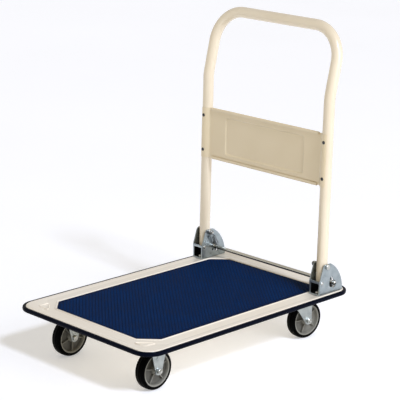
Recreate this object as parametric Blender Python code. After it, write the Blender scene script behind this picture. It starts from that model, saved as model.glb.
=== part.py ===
"""Folding platform cart: a pressed steel deck on four casters with a tubular push handle.

Metres, +Z up, origin on the ground under the middle of the deck.
The handle stands at the +Y end and folds forward over the deck; +X is the right side.
"""
import math

import bmesh
import bpy
from mathutils import Matrix, Vector

# Overall sizes
DECK_LENGTH = 0.724          # steel pan along Y, without the bumper
DECK_WIDTH = 0.464           # steel pan along X, without the bumper
GRIP_RISE = 0.680            # centre of the grip bar above the deck
GAP = 0.0003                 # clearance between pieces that touch on the real cart
SIDES = {"left": -1, "right": 1}

# Deck pan
DECK_SHEET = 0.0015
DECK_CORNER = 0.040
EDGE_ROLL = 0.0035           # radius of the rolled-over edge
SKIRT_DEPTH = 0.0135
LIP_HEIGHT = 0.0012          # raised bead round the mat recess
LIP_WIDTH = 0.0036
RECESS_DEPTH = 0.002

# Rubber mat, let into the deck
BORDER_SIDE = 0.048          # steel left bare beside the mat
BORDER_FRONT = 0.048
BORDER_REAR = 0.056
MAT_CHAMFER = 0.040
MAT_THICKNESS = 0.0022
MAT_CLEARANCE = 0.0006

# Bumper strip pushed round the skirt
BUMPER_OUT = 0.0077
BUMPER_HEIGHT = 0.0105
BUMPER_DROP = 0.0015

# Stiffeners under the deck
MEMBER_DEPTH = 0.0135
MEMBER_WIDTH = 0.096
MEMBER_INSET = 0.032         # its end from the side of the pan
MEMBER_SHEET = 0.002
RIB_WIDTH = 0.060

# Handle
TUBE_RADIUS = 0.0143
TUBE_WALL = 0.0015
LEG_INSET = 0.022            # centre of each leg from the side of the pan
PIVOT_SETBACK = 0.0898       # legs and pivots from the rear of the pan
LEAN_RISE = 0.500            # above the deck, where the legs bend back
LEAN_ANGLE = math.radians(12.6)
LEAN_RADIUS = 0.090
GRIP_RADIUS = 0.085          # bend at each end of the grip bar
PIVOT_HEIGHT = 0.074         # above the deck
FOOT_LENGTH = 0.044          # leg below the pivot

# Hinge brackets
BRACKET_SHEET = 0.0025
BRACKET_CLEARANCE = 0.0012   # each side of the tube
BRACKET_FRONT = 0.0262       # front web ahead of the pivot
BRACKET_LENGTH = 0.090
BRACKET_HEIGHT = 0.081
BRACKET_WEB_HEIGHT = 0.037
BRACKET_TOP_FRONT = 0.013    # the plate's flat top, behind the front web
BRACKET_TOP_REAR = 0.040
WINDOW_MARGIN = 0.0045
WINDOW_BOTTOM = 0.005
WINDOW_TOP = 0.030
TOOLING_HOLE = 0.0033        # round hole in the inner plate, below the foot
TOOLING_Y = 0.0415           # behind the bracket's front
TOOLING_Z = 0.0212           # above the deck
RIVET_RADIUS = 0.0030
RIVET_SPACING = 0.058
RIVET_SETBACK = 0.013
HOLE_FIT = 0.00015           # radial clearance of a fixed pin in its hole

# Pivot and lock
PIVOT_RADIUS = 0.0040
RUNNING_FIT = 0.0003
STOP_RADIUS = 0.0030
STOP_HEIGHT = 0.033          # above the deck
BAR_RADIUS = 0.0050
BAR_REACH = 0.0530           # bar centre from the pivot
BAR_ANGLE = math.radians(28.5)   # back from straight down
BAR_TRAVEL = 0.010
SLOT_FIT = 0.0008
SLOT_UP = 0.013              # free slot above the bar
BAR_OVERHANG = 0.0075        # bar beyond the bracket
CLIP_WIDTH = 0.002
CLIP_RADIUS = 0.0085
SPRING_WIRE = 0.0007
SPRING_RADIUS = 0.0042
SPRING_TURNS = 9
SPRING_INSET = 0.0030        # spring plane beyond the pivot nut

# Sign panel
PANEL_SHEET = 0.0012
PANEL_RISE = 0.282           # its lower edge above the deck
PANEL_HEIGHT = 0.140
PANEL_WRAP_OUT = math.radians(28)
PANEL_WRAP_IN = math.radians(55)
PANEL_BEND = 0.008
PANEL_BEAD = 0.0028
PANEL_BEAD_HEIGHT = 0.008
PANEL_PRESS_MARGIN_X = 0.056   # pressed field from the end of the flat
PANEL_PRESS_MARGIN_Z = 0.022
PANEL_PRESS_DEPTH = 0.0016
PANEL_RIVET_MARGIN = 0.023
PANEL_RIVET_RADIUS = 0.0020
PANEL_RIVET_TAIL = 0.0030

# Casters
WHEEL_RADIUS = 0.050
TYRE_WIDTH = 0.028
RIM_RADIUS = 0.041
RIM_WALL = 0.0040
HUB_WEB = 0.005
BOSS_RADIUS = 0.0115
HUB_SPOKES = 5
SPOKE_THICKNESS = 0.003
AXLE_RADIUS = 0.0040
SLEEVE_WALL = 0.0016
FORK_SHEET = 0.0025
FORK_INSIDE = 0.033
FORK_TIP = 0.0108
PLATE_X = 0.066
PLATE_Y = 0.090
PLATE_SHEET = 0.0025
PLATE_HOLE = 0.0042
PLATE_HOLE_MARGIN = 0.010
WHEEL_CLEARANCE = 0.0052     # under the crown of a swivel fork
CASTER_INSET = 0.081         # middle of each caster from the side of the pan
FIXED_SETBACK = 0.097        # fixed axles from the front of the pan
SWIVEL_SETBACK = 0.117       # kingpins from the rear of the pan
TRAIL = 0.030
FIXED_LEG_HALF = 0.028       # half the leg's width at the plate
SWIVEL_CROWN_FRONT = 0.025   # crown ahead of the kingpin
RACE_HEIGHT = 0.0066
RACE_RADIUS = 0.023
KINGPIN_RADIUS = 0.0050
KINGPIN_HEAD = 0.0090
SWIVEL_REST = {"left": 0.0, "right": math.radians(-7)}

WHEEL_SEGMENTS = 24
TUBE_SIDES = 14
CROWN_TOP = 2 * WHEEL_RADIUS + WHEEL_CLEARANCE + FORK_SHEET
CASTER_TOP = CROWN_TOP + RACE_HEIGHT + PLATE_SHEET + 2 * GAP
MEMBER_TOP = CASTER_TOP + MEMBER_DEPTH + GAP
DECK_TOP = MEMBER_TOP + GAP + DECK_SHEET + RECESS_DEPTH   # 135 mm above the ground
MAT_WIDTH = DECK_WIDTH - 2 * BORDER_SIDE
MAT_LENGTH = DECK_LENGTH - BORDER_FRONT - BORDER_REAR
MAT_SHIFT = (BORDER_FRONT - BORDER_REAR) / 2
MEMBER_LENGTH = DECK_WIDTH - 2 * MEMBER_INSET
CASTER_X = DECK_WIDTH / 2 - CASTER_INSET
FIXED_Y = -DECK_LENGTH / 2 + FIXED_SETBACK
SWIVEL_Y = DECK_LENGTH / 2 - SWIVEL_SETBACK
TUBE_SPREAD = DECK_WIDTH / 2 - LEG_INSET
HANDLE_Y = DECK_LENGTH / 2 - PIVOT_SETBACK
HANDLE_HEIGHT = DECK_TOP + GRIP_RISE
LEAN_START = DECK_TOP + LEAN_RISE
PANEL_BOTTOM = DECK_TOP + PANEL_RISE
PIVOT = Vector((0.0, HANDLE_Y, DECK_TOP + PIVOT_HEIGHT))
BAR_LINE = Vector((0.0, math.sin(BAR_ANGLE), -math.cos(BAR_ANGLE)))   # pivot to bar, and its travel
BAR_CENTRE = PIVOT + BAR_LINE * BAR_REACH
BRACKET_HALF = TUBE_RADIUS + BRACKET_CLEARANCE + BRACKET_SHEET
BRACKET_BASE = DECK_TOP + GAP
BRACKET_Y = HANDLE_Y - BRACKET_FRONT
FORK_HALF = FORK_INSIDE / 2 + FORK_SHEET


def material(name, colour, roughness, metallic=0.0):
    """Principled material from an sRGB hex colour."""
    channels = [int(colour[i:i + 2], 16) / 255 for i in (0, 2, 4)]
    linear = [c / 12.92 if c <= 0.04045 else ((c + 0.055) / 1.055) ** 2.4 for c in channels]
    made = bpy.data.materials.new(name)
    made.use_nodes = True
    shader = made.node_tree.nodes["Principled BSDF"]
    shader.inputs["Base Color"].default_value = (*linear, 1.0)
    shader.inputs["Roughness"].default_value = roughness
    shader.inputs["Metallic"].default_value = metallic
    made.diffuse_color = (*linear, 1.0)
    return made


def new_object(name, mesh_data, surface=None, smooth=False):
    """Turn a bmesh into an object whose faces point outwards."""
    bmesh.ops.recalc_face_normals(mesh_data, faces=mesh_data.faces)
    mesh = bpy.data.meshes.new(name)
    mesh_data.to_mesh(mesh)
    mesh_data.free()
    if smooth:
        mesh.shade_smooth()
        mesh.set_sharp_from_angle(angle=math.radians(35))
    obj = bpy.data.objects.new(name, mesh)
    bpy.context.scene.collection.objects.link(obj)
    if surface:
        obj.data.materials.append(surface)
    return obj


def loft(rings, closed_ends=True, closed_path=False):
    """Bridge rings of equal length into a skin; capped at the ends unless the path closes."""
    shape = bmesh.new()
    loops = [[shape.verts.new(point) for point in ring] for ring in rings]
    count = len(loops[0])
    pairs = list(zip(loops, loops[1:]))
    if closed_path:
        pairs.append((loops[-1], loops[0]))
    for lower, upper in pairs:
        for i in range(count):
            j = (i + 1) % count
            shape.faces.new((lower[i], lower[j], upper[j], upper[i]))
    if closed_ends and not closed_path:
        shape.faces.new(loops[0])
        shape.faces.new(loops[-1])
    return shape


def prism(outline, low, high, axis="Z"):
    """Extrude an outline: in XY along Z, or in YZ along X."""
    if axis == "Z":
        rings = [[Vector((a, b, level)) for a, b in outline] for level in (low, high)]
    else:
        rings = [[Vector((level, a, b)) for a, b in outline] for level in (low, high)]
    return loft(rings)


def box(x_range, y_range, z_range):
    """Rectangular block between the given limits."""
    corners = [(x_range[0], y_range[0]), (x_range[1], y_range[0]),
               (x_range[1], y_range[1]), (x_range[0], y_range[1])]
    return prism(corners, *z_range)


def turned(profile, segments, axis="X", hexagon=(), phase=0.5):
    """Revolve (along, radius) points about an axis through the origin.

    Points whose index is in hexagon lie on a hexagon of that half-width across flats.
    A profile that starts and ends on the axis makes a solid, any other closes into a ring.
    """
    rings = []
    for index, (along, radius) in enumerate(profile):
        ring = []
        for step in range(segments):
            angle = math.tau * (step + phase) / segments
            reach = radius
            if index in hexagon:
                reach = radius / math.cos((angle + math.pi / 6) % (math.pi / 3) - math.pi / 6)
            u, v = reach * math.cos(angle), reach * math.sin(angle)
            ring.append(Vector((along, u, v)) if axis == "X" else Vector((u, v, along)))
        rings.append(ring)
    solid = profile[0][1] == 0
    if solid:
        return loft(rings[1:-1])
    return loft(rings, closed_path=True)


def round_bar(start, end, radius, segments=12, axis="X"):
    """Plain cylinder along the axis."""
    return turned([(start, 0), (start, radius), (end, radius), (end, 0)], segments, axis)


def moved(shape, offset, angle=0.0):
    """Turn a bmesh about Z, then shift it."""
    matrix = Matrix.Translation(offset) @ Matrix.Rotation(angle, 4, "Z")
    bmesh.ops.transform(shape, matrix=matrix, verts=shape.verts)
    return shape


def combined(shapes):
    """Several loose shapes in one bmesh, for cutters."""
    whole = bmesh.new()
    for shape in shapes:
        temporary = bpy.data.meshes.new("temporary")
        bmesh.ops.recalc_face_normals(shape, faces=shape.faces)
        shape.to_mesh(temporary)
        shape.free()
        whole.from_mesh(temporary)
        bpy.data.meshes.remove(temporary)
    return whole


def carve(obj, tool_shape, operation="DIFFERENCE"):
    """Apply an exact Boolean with a bmesh as the other operand."""
    tool = new_object("tool", tool_shape)
    modifier = obj.modifiers.new("carve", "BOOLEAN")
    modifier.operation = operation
    modifier.object = tool
    modifier.solver = "EXACT"
    bake(obj)
    tool_mesh = tool.data
    bpy.data.objects.remove(tool)
    bpy.data.meshes.remove(tool_mesh)
    return obj


def bake(obj):
    """Replace the object's mesh by its evaluated one and drop the modifiers."""
    bpy.context.view_layer.update()
    evaluated = obj.evaluated_get(bpy.context.evaluated_depsgraph_get())
    mesh = bpy.data.meshes.new_from_object(evaluated)
    old = obj.data
    obj.modifiers.clear()
    obj.data = mesh
    bpy.data.meshes.remove(old)


def outline(half_x, half_y, corner, steps, shift=0.0, chamfered=False):
    """Rectangle with rounded or chamfered corners, counter-clockwise, in XY."""
    points = []
    for quarter, (sx, sy) in enumerate(((1, 1), (-1, 1), (-1, -1), (1, -1))):
        cx, cy = sx * (half_x - corner), sy * (half_y - corner)
        start = quarter * math.pi / 2
        for step in range(steps + 1):
            share = step / steps
            if chamfered:
                first = Vector((math.cos(start), math.sin(start)))
                last = Vector((-math.sin(start), math.cos(start)))
                offset = first.lerp(last, share) * corner
                points.append((cx + offset.x, cy + offset.y + shift))
            else:
                angle = start + share * math.pi / 2
                points.append((cx + corner * math.cos(angle), cy + corner * math.sin(angle) + shift))
    return points


CORNER_STEPS = 4


def pan_ring(inset, height):
    """Loop of the pan, parallel to its outer edge."""
    loop = outline(DECK_WIDTH / 2 - inset, DECK_LENGTH / 2 - inset, DECK_CORNER - inset, CORNER_STEPS)
    return [Vector((x, y, height)) for x, y in loop]


def recess_ring(outset, height):
    """Loop parallel to the edge of the mat recess."""
    half_x, half_y = MAT_WIDTH / 2 + outset, MAT_LENGTH / 2 + outset
    corner = MAT_CHAMFER + outset * (2 - math.sqrt(2))
    loop = outline(half_x, half_y, corner, CORNER_STEPS, MAT_SHIFT, chamfered=True)
    return [Vector((x, y, height)) for x, y in loop]


def deck_pan(steel):
    """Pressed sheet: skirt, rolled edge, flat border, raised lip and the recess for the mat."""
    rings = [pan_ring(0.0, DECK_TOP - SKIRT_DEPTH)]
    for step in range(4):
        angle = step / 3 * math.pi / 2
        rings.append(pan_ring(EDGE_ROLL * (1 - math.cos(angle)),
                              DECK_TOP - EDGE_ROLL * (1 - math.sin(angle))))
    rings.append(recess_ring(LIP_WIDTH, DECK_TOP))
    rings.append(recess_ring(LIP_WIDTH * 0.7, DECK_TOP + LIP_HEIGHT))
    rings.append(recess_ring(LIP_WIDTH * 0.3, DECK_TOP + LIP_HEIGHT))
    rings.append(recess_ring(0.0, DECK_TOP - RECESS_DEPTH))
    shape = loft(rings, closed_ends=False)
    shape.verts.ensure_lookup_table()
    count = len(rings[0])
    shape.faces.new(shape.verts[-count:])
    bmesh.ops.recalc_face_normals(shape, faces=shape.faces)
    if max(shape.faces, key=lambda face: face.calc_area()).normal.z < 0:
        bmesh.ops.reverse_faces(shape, faces=shape.faces)
    mesh = bpy.data.meshes.new("deck_pan")
    shape.to_mesh(mesh)
    shape.free()
    obj = bpy.data.objects.new("deck_pan", mesh)
    bpy.context.scene.collection.objects.link(obj)
    obj.data.materials.append(steel)
    sheet = obj.modifiers.new("sheet", "SOLIDIFY")
    sheet.thickness = DECK_SHEET
    sheet.offset = -1.0
    sheet.use_even_offset = True
    bake(obj)
    holes = []
    for x, y in rivet_places():
        drill = round_bar(DECK_TOP - 0.01, DECK_TOP + 0.01, RIVET_RADIUS + HOLE_FIT, axis="Z")
        holes.append(moved(drill, (x, y, 0)))
    return carve(obj, combined(holes))


def rivet_places():
    """Where the brackets are riveted to the deck."""
    first = BRACKET_Y + RIVET_SETBACK
    return [(sign * TUBE_SPREAD, y) for sign in SIDES.values() for y in (first, first + RIVET_SPACING)]


def mat(rubber):
    """Flat rubber sheet lying in the recess."""
    loop = [(v.x, v.y) for v in recess_ring(-MAT_CLEARANCE, 0)]
    bottom = DECK_TOP - RECESS_DEPTH + GAP
    return new_object("mat", prism(loop, bottom, bottom + MAT_THICKNESS), rubber)


def bumper(vinyl):
    """D-section strip that follows the skirt all the way round."""
    top = DECK_TOP - BUMPER_DROP
    section = [(GAP, top - BUMPER_HEIGHT), (BUMPER_OUT * 0.8, top - BUMPER_HEIGHT),
               (BUMPER_OUT + GAP, top - BUMPER_HEIGHT * 0.75), (BUMPER_OUT + GAP, top - BUMPER_HEIGHT * 0.25),
               (BUMPER_OUT * 0.8, top), (GAP, top)]
    rings = [pan_ring(-out, height) for out, height in section]
    return new_object("bumper", loft(rings, closed_path=True), vinyl, smooth=True)


def stiffener(name, steel, centre, length, width, along="X"):
    """Open channel, its web down and its flanges up against the deck."""
    half, sheet = width / 2, MEMBER_SHEET
    low, high = MEMBER_TOP - MEMBER_DEPTH, MEMBER_TOP
    section = [(-half, low), (half, low), (half, high), (half - sheet, high),
               (half - sheet, low + sheet), (-half + sheet, low + sheet), (-half + sheet, high), (-half, high)]
    if along == "X":
        rings = [[Vector((x, centre + a, b)) for a, b in section] for x in (-length / 2, length / 2)]
    else:
        rings = [[Vector((a, centre + y, b)) for a, b in section] for y in (-length / 2, length / 2)]
    return new_object(name, loft(rings), steel)


def bracket_side():
    """Outline of a bracket's side plate in YZ, from the bottom front corner."""
    front, base = BRACKET_Y, BRACKET_BASE
    rear = front + BRACKET_LENGTH
    points = [(front, base), (rear, base), (rear, base + 0.006)]
    sweep = BRACKET_LENGTH
    first = math.asin(0.006 / sweep)
    last = math.acos(BRACKET_TOP_REAR / sweep)
    for step in range(1, 8):
        angle = first + (last - first) * step / 7
        points.append((front + sweep * math.cos(angle), base + min(sweep * math.sin(angle), BRACKET_HEIGHT)))
    points.append((front + BRACKET_TOP_FRONT, base + BRACKET_HEIGHT - 0.001))
    points.append((front, base + BRACKET_WEB_HEIGHT))
    return points


def slot_outline():
    """Stadium along the bar's line of travel, in YZ."""
    radius = BAR_RADIUS + SLOT_FIT
    low = PIVOT + BAR_LINE * (BAR_REACH + BAR_TRAVEL)
    high = PIVOT + BAR_LINE * (BAR_REACH - SLOT_UP)
    points = []
    base = math.atan2(BAR_LINE.z, BAR_LINE.y)
    for centre, start in ((low, base - math.pi / 2), (high, base + math.pi / 2)):
        for step in range(6):
            angle = start + math.pi * step / 5
            points.append((centre.y + radius * math.cos(angle), centre.z + radius * math.sin(angle)))
    return points


def bracket(side, steel):
    """Stamped U bracket: two side plates, a base on the deck and a short front web with a window."""
    sign = SIDES[side]
    centre = sign * TUBE_SPREAD
    obj = new_object(f"bracket_{side}", prism(bracket_side(), centre - BRACKET_HALF,
                                              centre + BRACKET_HALF, "X"), steel)
    inner = BRACKET_HALF - BRACKET_SHEET
    rear = BRACKET_Y + BRACKET_LENGTH
    floor = BRACKET_BASE + BRACKET_SHEET
    across = (centre - inner, centre + inner)
    carve(obj, box(across, (BRACKET_Y + BRACKET_SHEET, rear + 0.01), (floor, floor + BRACKET_HEIGHT)))
    carve(obj, box(across, (BRACKET_Y - 0.01, rear + 0.01),
                   (BRACKET_BASE + BRACKET_WEB_HEIGHT, floor + BRACKET_HEIGHT)))
    carve(obj, box((centre - inner + WINDOW_MARGIN, centre + inner - WINDOW_MARGIN),
                   (BRACKET_Y - 0.01, BRACKET_Y + BRACKET_SHEET + 0.001),
                   (BRACKET_BASE + WINDOW_BOTTOM, BRACKET_BASE + WINDOW_TOP)))
    reach = (centre - BRACKET_HALF - 0.01, centre + BRACKET_HALF + 0.01)
    holes = [moved(round_bar(*reach, PIVOT_RADIUS + HOLE_FIT), (0, PIVOT.y, PIVOT.z)),
             moved(round_bar(*reach, STOP_RADIUS + HOLE_FIT), (0, stop_y(), DECK_TOP + STOP_HEIGHT)),
             prism(slot_outline(), *reach, "X")]
    for x, y in rivet_places():
        if x == centre:
            drill = round_bar(BRACKET_BASE - 0.01, floor + 0.005, RIVET_RADIUS + HOLE_FIT, axis="Z")
            holes.append(moved(drill, (x, y, 0)))
    inner_plate = sign * (TUBE_SPREAD - BRACKET_HALF)
    locator = round_bar(inner_plate - 0.005, inner_plate + 0.005, TOOLING_HOLE)
    holes.append(moved(locator, (0, BRACKET_Y + TOOLING_Y, DECK_TOP + TOOLING_Z)))
    return carve(obj, combined(holes))


def stop_y():
    """The stop pin bears on the front of the leg's foot."""
    return HANDLE_Y - TUBE_RADIUS - STOP_RADIUS - GAP


def headed_pin(length, radius, head_radius, head_height, tail_radius, tail_height):
    """Domed head, shank, and an upset tail: profile for a rivet along its axis from the head."""
    return [(-head_height, 0), (-head_height, head_radius * 0.55), (-head_height * 0.45, head_radius * 0.92),
            (0, head_radius), (0, radius), (length, radius), (length, tail_radius),
            (length + tail_height, tail_radius * 0.8), (length + tail_height, 0)]


def bracket_rivets(side, steel):
    """Solid rivets through the bracket's base and the deck, head up."""
    places = [place for place in rivet_places() if place[0] == SIDES[side] * TUBE_SPREAD]
    grip = BRACKET_SHEET + DECK_SHEET + 3 * GAP
    for where, (x, y) in zip(("front", "rear"), places):
        profile = headed_pin(grip, RIVET_RADIUS, 0.0062, 0.004, 0.0052, 0.0022)
        flipped = [(-along, radius) for along, radius in profile]
        shape = turned(flipped, 10, "Z")
        top = BRACKET_BASE + BRACKET_SHEET + GAP
        new_object(f"bracket_rivet_{where}_{side}", moved(shape, (x, y, top)), steel, smooth=True)


def stop_pin(side, steel):
    """Riveted pin across the bracket; the handle's foot rests against it when upright."""
    span = 2 * (BRACKET_HALF + GAP)
    shape = turned(headed_pin(span, STOP_RADIUS, 0.0048, 0.0018, 0.0048, 0.0018), 10)
    start = SIDES[side] * TUBE_SPREAD - BRACKET_HALF - GAP
    place = (start, stop_y(), DECK_TOP + STOP_HEIGHT)
    return new_object(f"stop_pin_{side}", moved(shape, place), steel, smooth=True)


HEAD_FLATS = 0.0065
HEAD_HEIGHT = 0.0048
NUT_HEIGHT = 0.0062
BOLT_TAIL = 0.0075


def hex_bolt(length, radius, flats, height):
    """Bolt along +X: hexagon head behind the origin, shank ahead of it."""
    profile = [(-height, 0), (-height, flats * 0.86), (-height * 0.8, flats), (0, flats), (0, radius),
               (length, radius), (length, 0)]
    return turned(profile, 12, hexagon=(2, 3), phase=0)


def hex_nut(radius, flats, height):
    """Plain nut along +X from the origin, bored with clearance."""
    profile = [(0, radius), (0, flats), (height * 0.82, flats), (height, flats * 0.9), (height, radius)]
    return turned(profile, 12, hexagon=(1, 2), phase=0)


def facing(shape, sign, place, angle=0.0):
    """Put a shape built along +X at a place, pointing along +X or -X."""
    return moved(shape, place, angle + (0 if sign > 0 else math.pi))


def pivot_fasteners(side, steel):
    """Handle pivot bolt, its head outside, and the nut on the inner plate."""
    sign = SIDES[side]
    outer = sign * (TUBE_SPREAD + BRACKET_HALF + GAP)
    inner = sign * (TUBE_SPREAD - BRACKET_HALF - GAP)
    length = 2 * (BRACKET_HALF + GAP) + NUT_HEIGHT + BOLT_TAIL
    bolt = hex_bolt(length, PIVOT_RADIUS, HEAD_FLATS, HEAD_HEIGHT)
    new_object(f"pivot_bolt_{side}", facing(bolt, -sign, (outer, PIVOT.y, PIVOT.z)), steel)
    nut = hex_nut(PIVOT_RADIUS + HOLE_FIT, HEAD_FLATS, NUT_HEIGHT)
    new_object(f"pivot_nut_{side}", facing(nut, -sign, (inner, PIVOT.y, PIVOT.z)), steel)


def release_bar(steel):
    """Round bar through both brackets, pressed down by foot to free the handle."""
    end = TUBE_SPREAD + BRACKET_HALF + BAR_OVERHANG
    shape = turned([(-end, 0), (-end, BAR_RADIUS * 0.8), (-end + 0.001, BAR_RADIUS), (end - 0.001, BAR_RADIUS),
                    (end, BAR_RADIUS * 0.8), (end, 0)], 12)
    new_object("release_bar", moved(shape, (0, BAR_CENTRE.y, BAR_CENTRE.z)), steel, smooth=True)


def bar_clip(side, steel):
    """Retaining ring on the end of the release bar."""
    start = SIDES[side] * (TUBE_SPREAD + BRACKET_HALF + 0.0012)
    bore = BAR_RADIUS + HOLE_FIT
    shape = turned([(0, bore), (0, CLIP_RADIUS), (CLIP_WIDTH, CLIP_RADIUS), (CLIP_WIDTH, bore)], 12)
    place = (start, BAR_CENTRE.y, BAR_CENTRE.z)
    return new_object(f"bar_clip_{side}", facing(shape, SIDES[side], place), steel, smooth=True)


def tube_rings(path, radius, sides, first_normal):
    """Circles carried along a path without twisting."""
    rings = []
    normal = Vector(first_normal)
    for index, point in enumerate(path):
        before = path[max(index - 1, 0)]
        after = path[min(index + 1, len(path) - 1)]
        tangent = (after - before).normalized()
        normal = (normal - tangent * normal.dot(tangent)).normalized()
        binormal = tangent.cross(normal)
        ring = []
        for step in range(sides):
            angle = math.tau * (step + 0.5) / sides
            ring.append(point + radius * (normal * math.cos(angle) + binormal * math.sin(angle)))
        rings.append(ring)
    return rings


def spring_path():
    """Wire of the return spring in its own plane: hook, coils, hook."""
    reach = BAR_REACH
    top_hook = PIVOT_RADIUS + SPRING_WIRE + GAP
    low_hook = BAR_RADIUS + SPRING_WIRE + GAP
    start, end = top_hook + 0.006, reach - low_hook - 0.006
    path = []

    def place(along, aside, out):
        """Local point: along the spring, aside in its plane, and out along X."""
        sideways = Vector((0, -BAR_LINE.z, BAR_LINE.y))
        return PIVOT + BAR_LINE * along + sideways * aside + Vector((out, 0, 0))

    for step in range(9):
        angle = math.radians(55 + 305 * step / 8)
        path.append(place(top_hook * math.cos(angle), top_hook * math.sin(angle), 0))
    steps = SPRING_TURNS * 8
    for step in range(steps + 1):
        angle = math.tau * step / 8
        along = start + (end - start) * step / steps
        path.append(place(along, SPRING_RADIUS * math.sin(angle), -SPRING_RADIUS * math.cos(angle)))
    for step in range(9):
        angle = math.radians(180 - 305 * step / 8)
        path.append(place(reach + low_hook * math.cos(angle), low_hook * math.sin(angle), 0))
    return path


def return_spring(side, steel):
    """Extension spring from the pivot bolt's tail to the release bar."""
    sign = SIDES[side]
    out = sign * (TUBE_SPREAD - BRACKET_HALF - GAP - NUT_HEIGHT - SPRING_INSET - SPRING_WIRE)
    shape = loft(tube_rings(spring_path(), SPRING_WIRE, 4, (0, 1, 0)))
    return new_object(f"return_spring_{side}", moved(shape, (out, 0, 0)), steel, smooth=True)


def handle_path():
    """Centreline of the handle from the right foot to the left foot."""
    lean = Vector((0, math.sin(LEAN_ANGLE), math.cos(LEAN_ANGLE)))
    foot = Vector((TUBE_SPREAD, HANDLE_Y, PIVOT.z - FOOT_LENGTH))
    half = [foot]
    for step in range(4):
        angle = LEAN_ANGLE * step / 3
        half.append(Vector((TUBE_SPREAD, HANDLE_Y + LEAN_RADIUS * (1 - math.cos(angle)),
                            LEAN_START + LEAN_RADIUS * math.sin(angle))))
    bend_end = half[-1]
    straight = (HANDLE_HEIGHT - bend_end.z) / lean.z - GRIP_RADIUS
    corner = bend_end + lean * straight - Vector((GRIP_RADIUS, 0, 0))
    for step in range(8):
        angle = math.pi / 2 * step / 7
        half.append(corner + GRIP_RADIUS * (Vector((math.cos(angle), 0, 0)) + lean * math.sin(angle)))
    mirrored = [Vector((-p.x, p.y, p.z)) for p in reversed(half)]
    return half + mirrored


def handle_tube(steel):
    """One bent steel tube, open at both feet, drilled for the pivots and the panel's rivets."""
    path = handle_path()
    outer = tube_rings(path, TUBE_RADIUS, TUBE_SIDES, (1, 0, 0))
    inner = tube_rings(path, TUBE_RADIUS - TUBE_WALL, TUBE_SIDES, (1, 0, 0))
    obj = new_object("handle_tube", loft(outer + inner[::-1], closed_path=True), steel, smooth=True)
    drills = []
    for sign in SIDES.values():
        reach = (sign * TUBE_SPREAD - 0.02, sign * TUBE_SPREAD + 0.02)
        drills.append(moved(round_bar(*reach, PIVOT_RADIUS + RUNNING_FIT), (0, PIVOT.y, PIVOT.z)))
    drills += rivet_drills()
    carve(obj, combined(drills))
    return obj


def panel_rivet_places():
    """Front centre of the legs, near the panel's top and bottom."""
    heights = {"bottom": PANEL_BOTTOM + PANEL_RIVET_MARGIN,
               "top": PANEL_BOTTOM + PANEL_HEIGHT - PANEL_RIVET_MARGIN}
    return {(where, side): (SIDES[side] * TUBE_SPREAD, heights[where]) for where in heights for side in SIDES}


def rivet_drills():
    """Holes for the panel's rivets through the sheet and the tube's front wall."""
    drills = []
    for x, z in panel_rivet_places().values():
        drill = round_bar(-0.008, 0.008, PANEL_RIVET_RADIUS + HOLE_FIT, 10)
        drills.append(facing(drill, 1, (x, HANDLE_Y - TUBE_RADIUS, z), math.pi / 2))
    return drills


def panel_plan():
    """Middle line of the panel's sheet in XY for x > 0, from the tube's outside to the flat."""
    wrap = TUBE_RADIUS + GAP + PANEL_SHEET / 2
    points = []
    for step in range(7):
        angle = PANEL_WRAP_OUT - (PANEL_WRAP_OUT + PANEL_WRAP_IN) * step / 6
        points.append(Vector((TUBE_SPREAD + wrap * math.sin(angle), HANDLE_Y - wrap * math.cos(angle))))
    last = points[-1]
    for step in range(1, 4):
        angle = PANEL_WRAP_IN * (1 - step / 3)
        x = last.x - PANEL_BEND * (math.sin(PANEL_WRAP_IN) - math.sin(angle))
        y = last.y + PANEL_BEND * (math.cos(angle) - math.cos(PANEL_WRAP_IN))
        points.append(Vector((x, y)))
    return points


def sign_panel(steel):
    """Pressed sheet between the legs, its ends wrapped round the front of the tubes."""
    right = panel_plan()
    flat = right[-1]
    press = flat.x - PANEL_PRESS_MARGIN_X
    ramp = 0.003
    inside = [Vector((x, flat.y)) for x in (flat.x - 0.006, press + ramp, press, 0.0, -press, -press - ramp,
                                            -flat.x + 0.006)]
    plan = right + inside + [Vector((-p.x, p.y)) for p in reversed(right)]
    top = PANEL_BOTTOM + PANEL_HEIGHT
    bead = [PANEL_BEAD_HEIGHT * share for share in (0, 0.2, 0.5, 0.8, 1)]
    low_press = PANEL_BOTTOM + PANEL_PRESS_MARGIN_Z
    high_press = top - PANEL_PRESS_MARGIN_Z
    levels = [PANEL_BOTTOM + rise for rise in bead] + [low_press - ramp, low_press, high_press, high_press + ramp]
    levels += [top - rise for rise in reversed(bead)]

    def sheet_point(x, y, z):
        """Bead at the top and bottom edges forward, pressed field back."""
        if abs(x) < flat.x - 0.003:
            edge = min(z - PANEL_BOTTOM, top - z)
            if edge < PANEL_BEAD_HEIGHT:
                y -= PANEL_BEAD * math.sin(math.pi * edge / PANEL_BEAD_HEIGHT)
            if abs(x) <= press + 1e-6 and low_press - 1e-6 <= z <= high_press + 1e-6:
                y += PANEL_PRESS_DEPTH
        return Vector((x, y, z))

    shape = bmesh.new()
    grid = [[shape.verts.new(sheet_point(p.x, p.y, z)) for p in plan] for z in levels]
    for lower, upper in zip(grid, grid[1:]):
        for i in range(len(plan) - 1):
            shape.faces.new((lower[i], lower[i + 1], upper[i + 1], upper[i]))
    mesh = bpy.data.meshes.new("sign_panel")
    shape.to_mesh(mesh)
    shape.free()
    obj = bpy.data.objects.new("sign_panel", mesh)
    bpy.context.scene.collection.objects.link(obj)
    obj.data.materials.append(steel)
    sheet = obj.modifiers.new("sheet", "SOLIDIFY")
    sheet.thickness = PANEL_SHEET
    sheet.offset = 0.0
    bake(obj)
    return carve(obj, combined(rivet_drills()))


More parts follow.
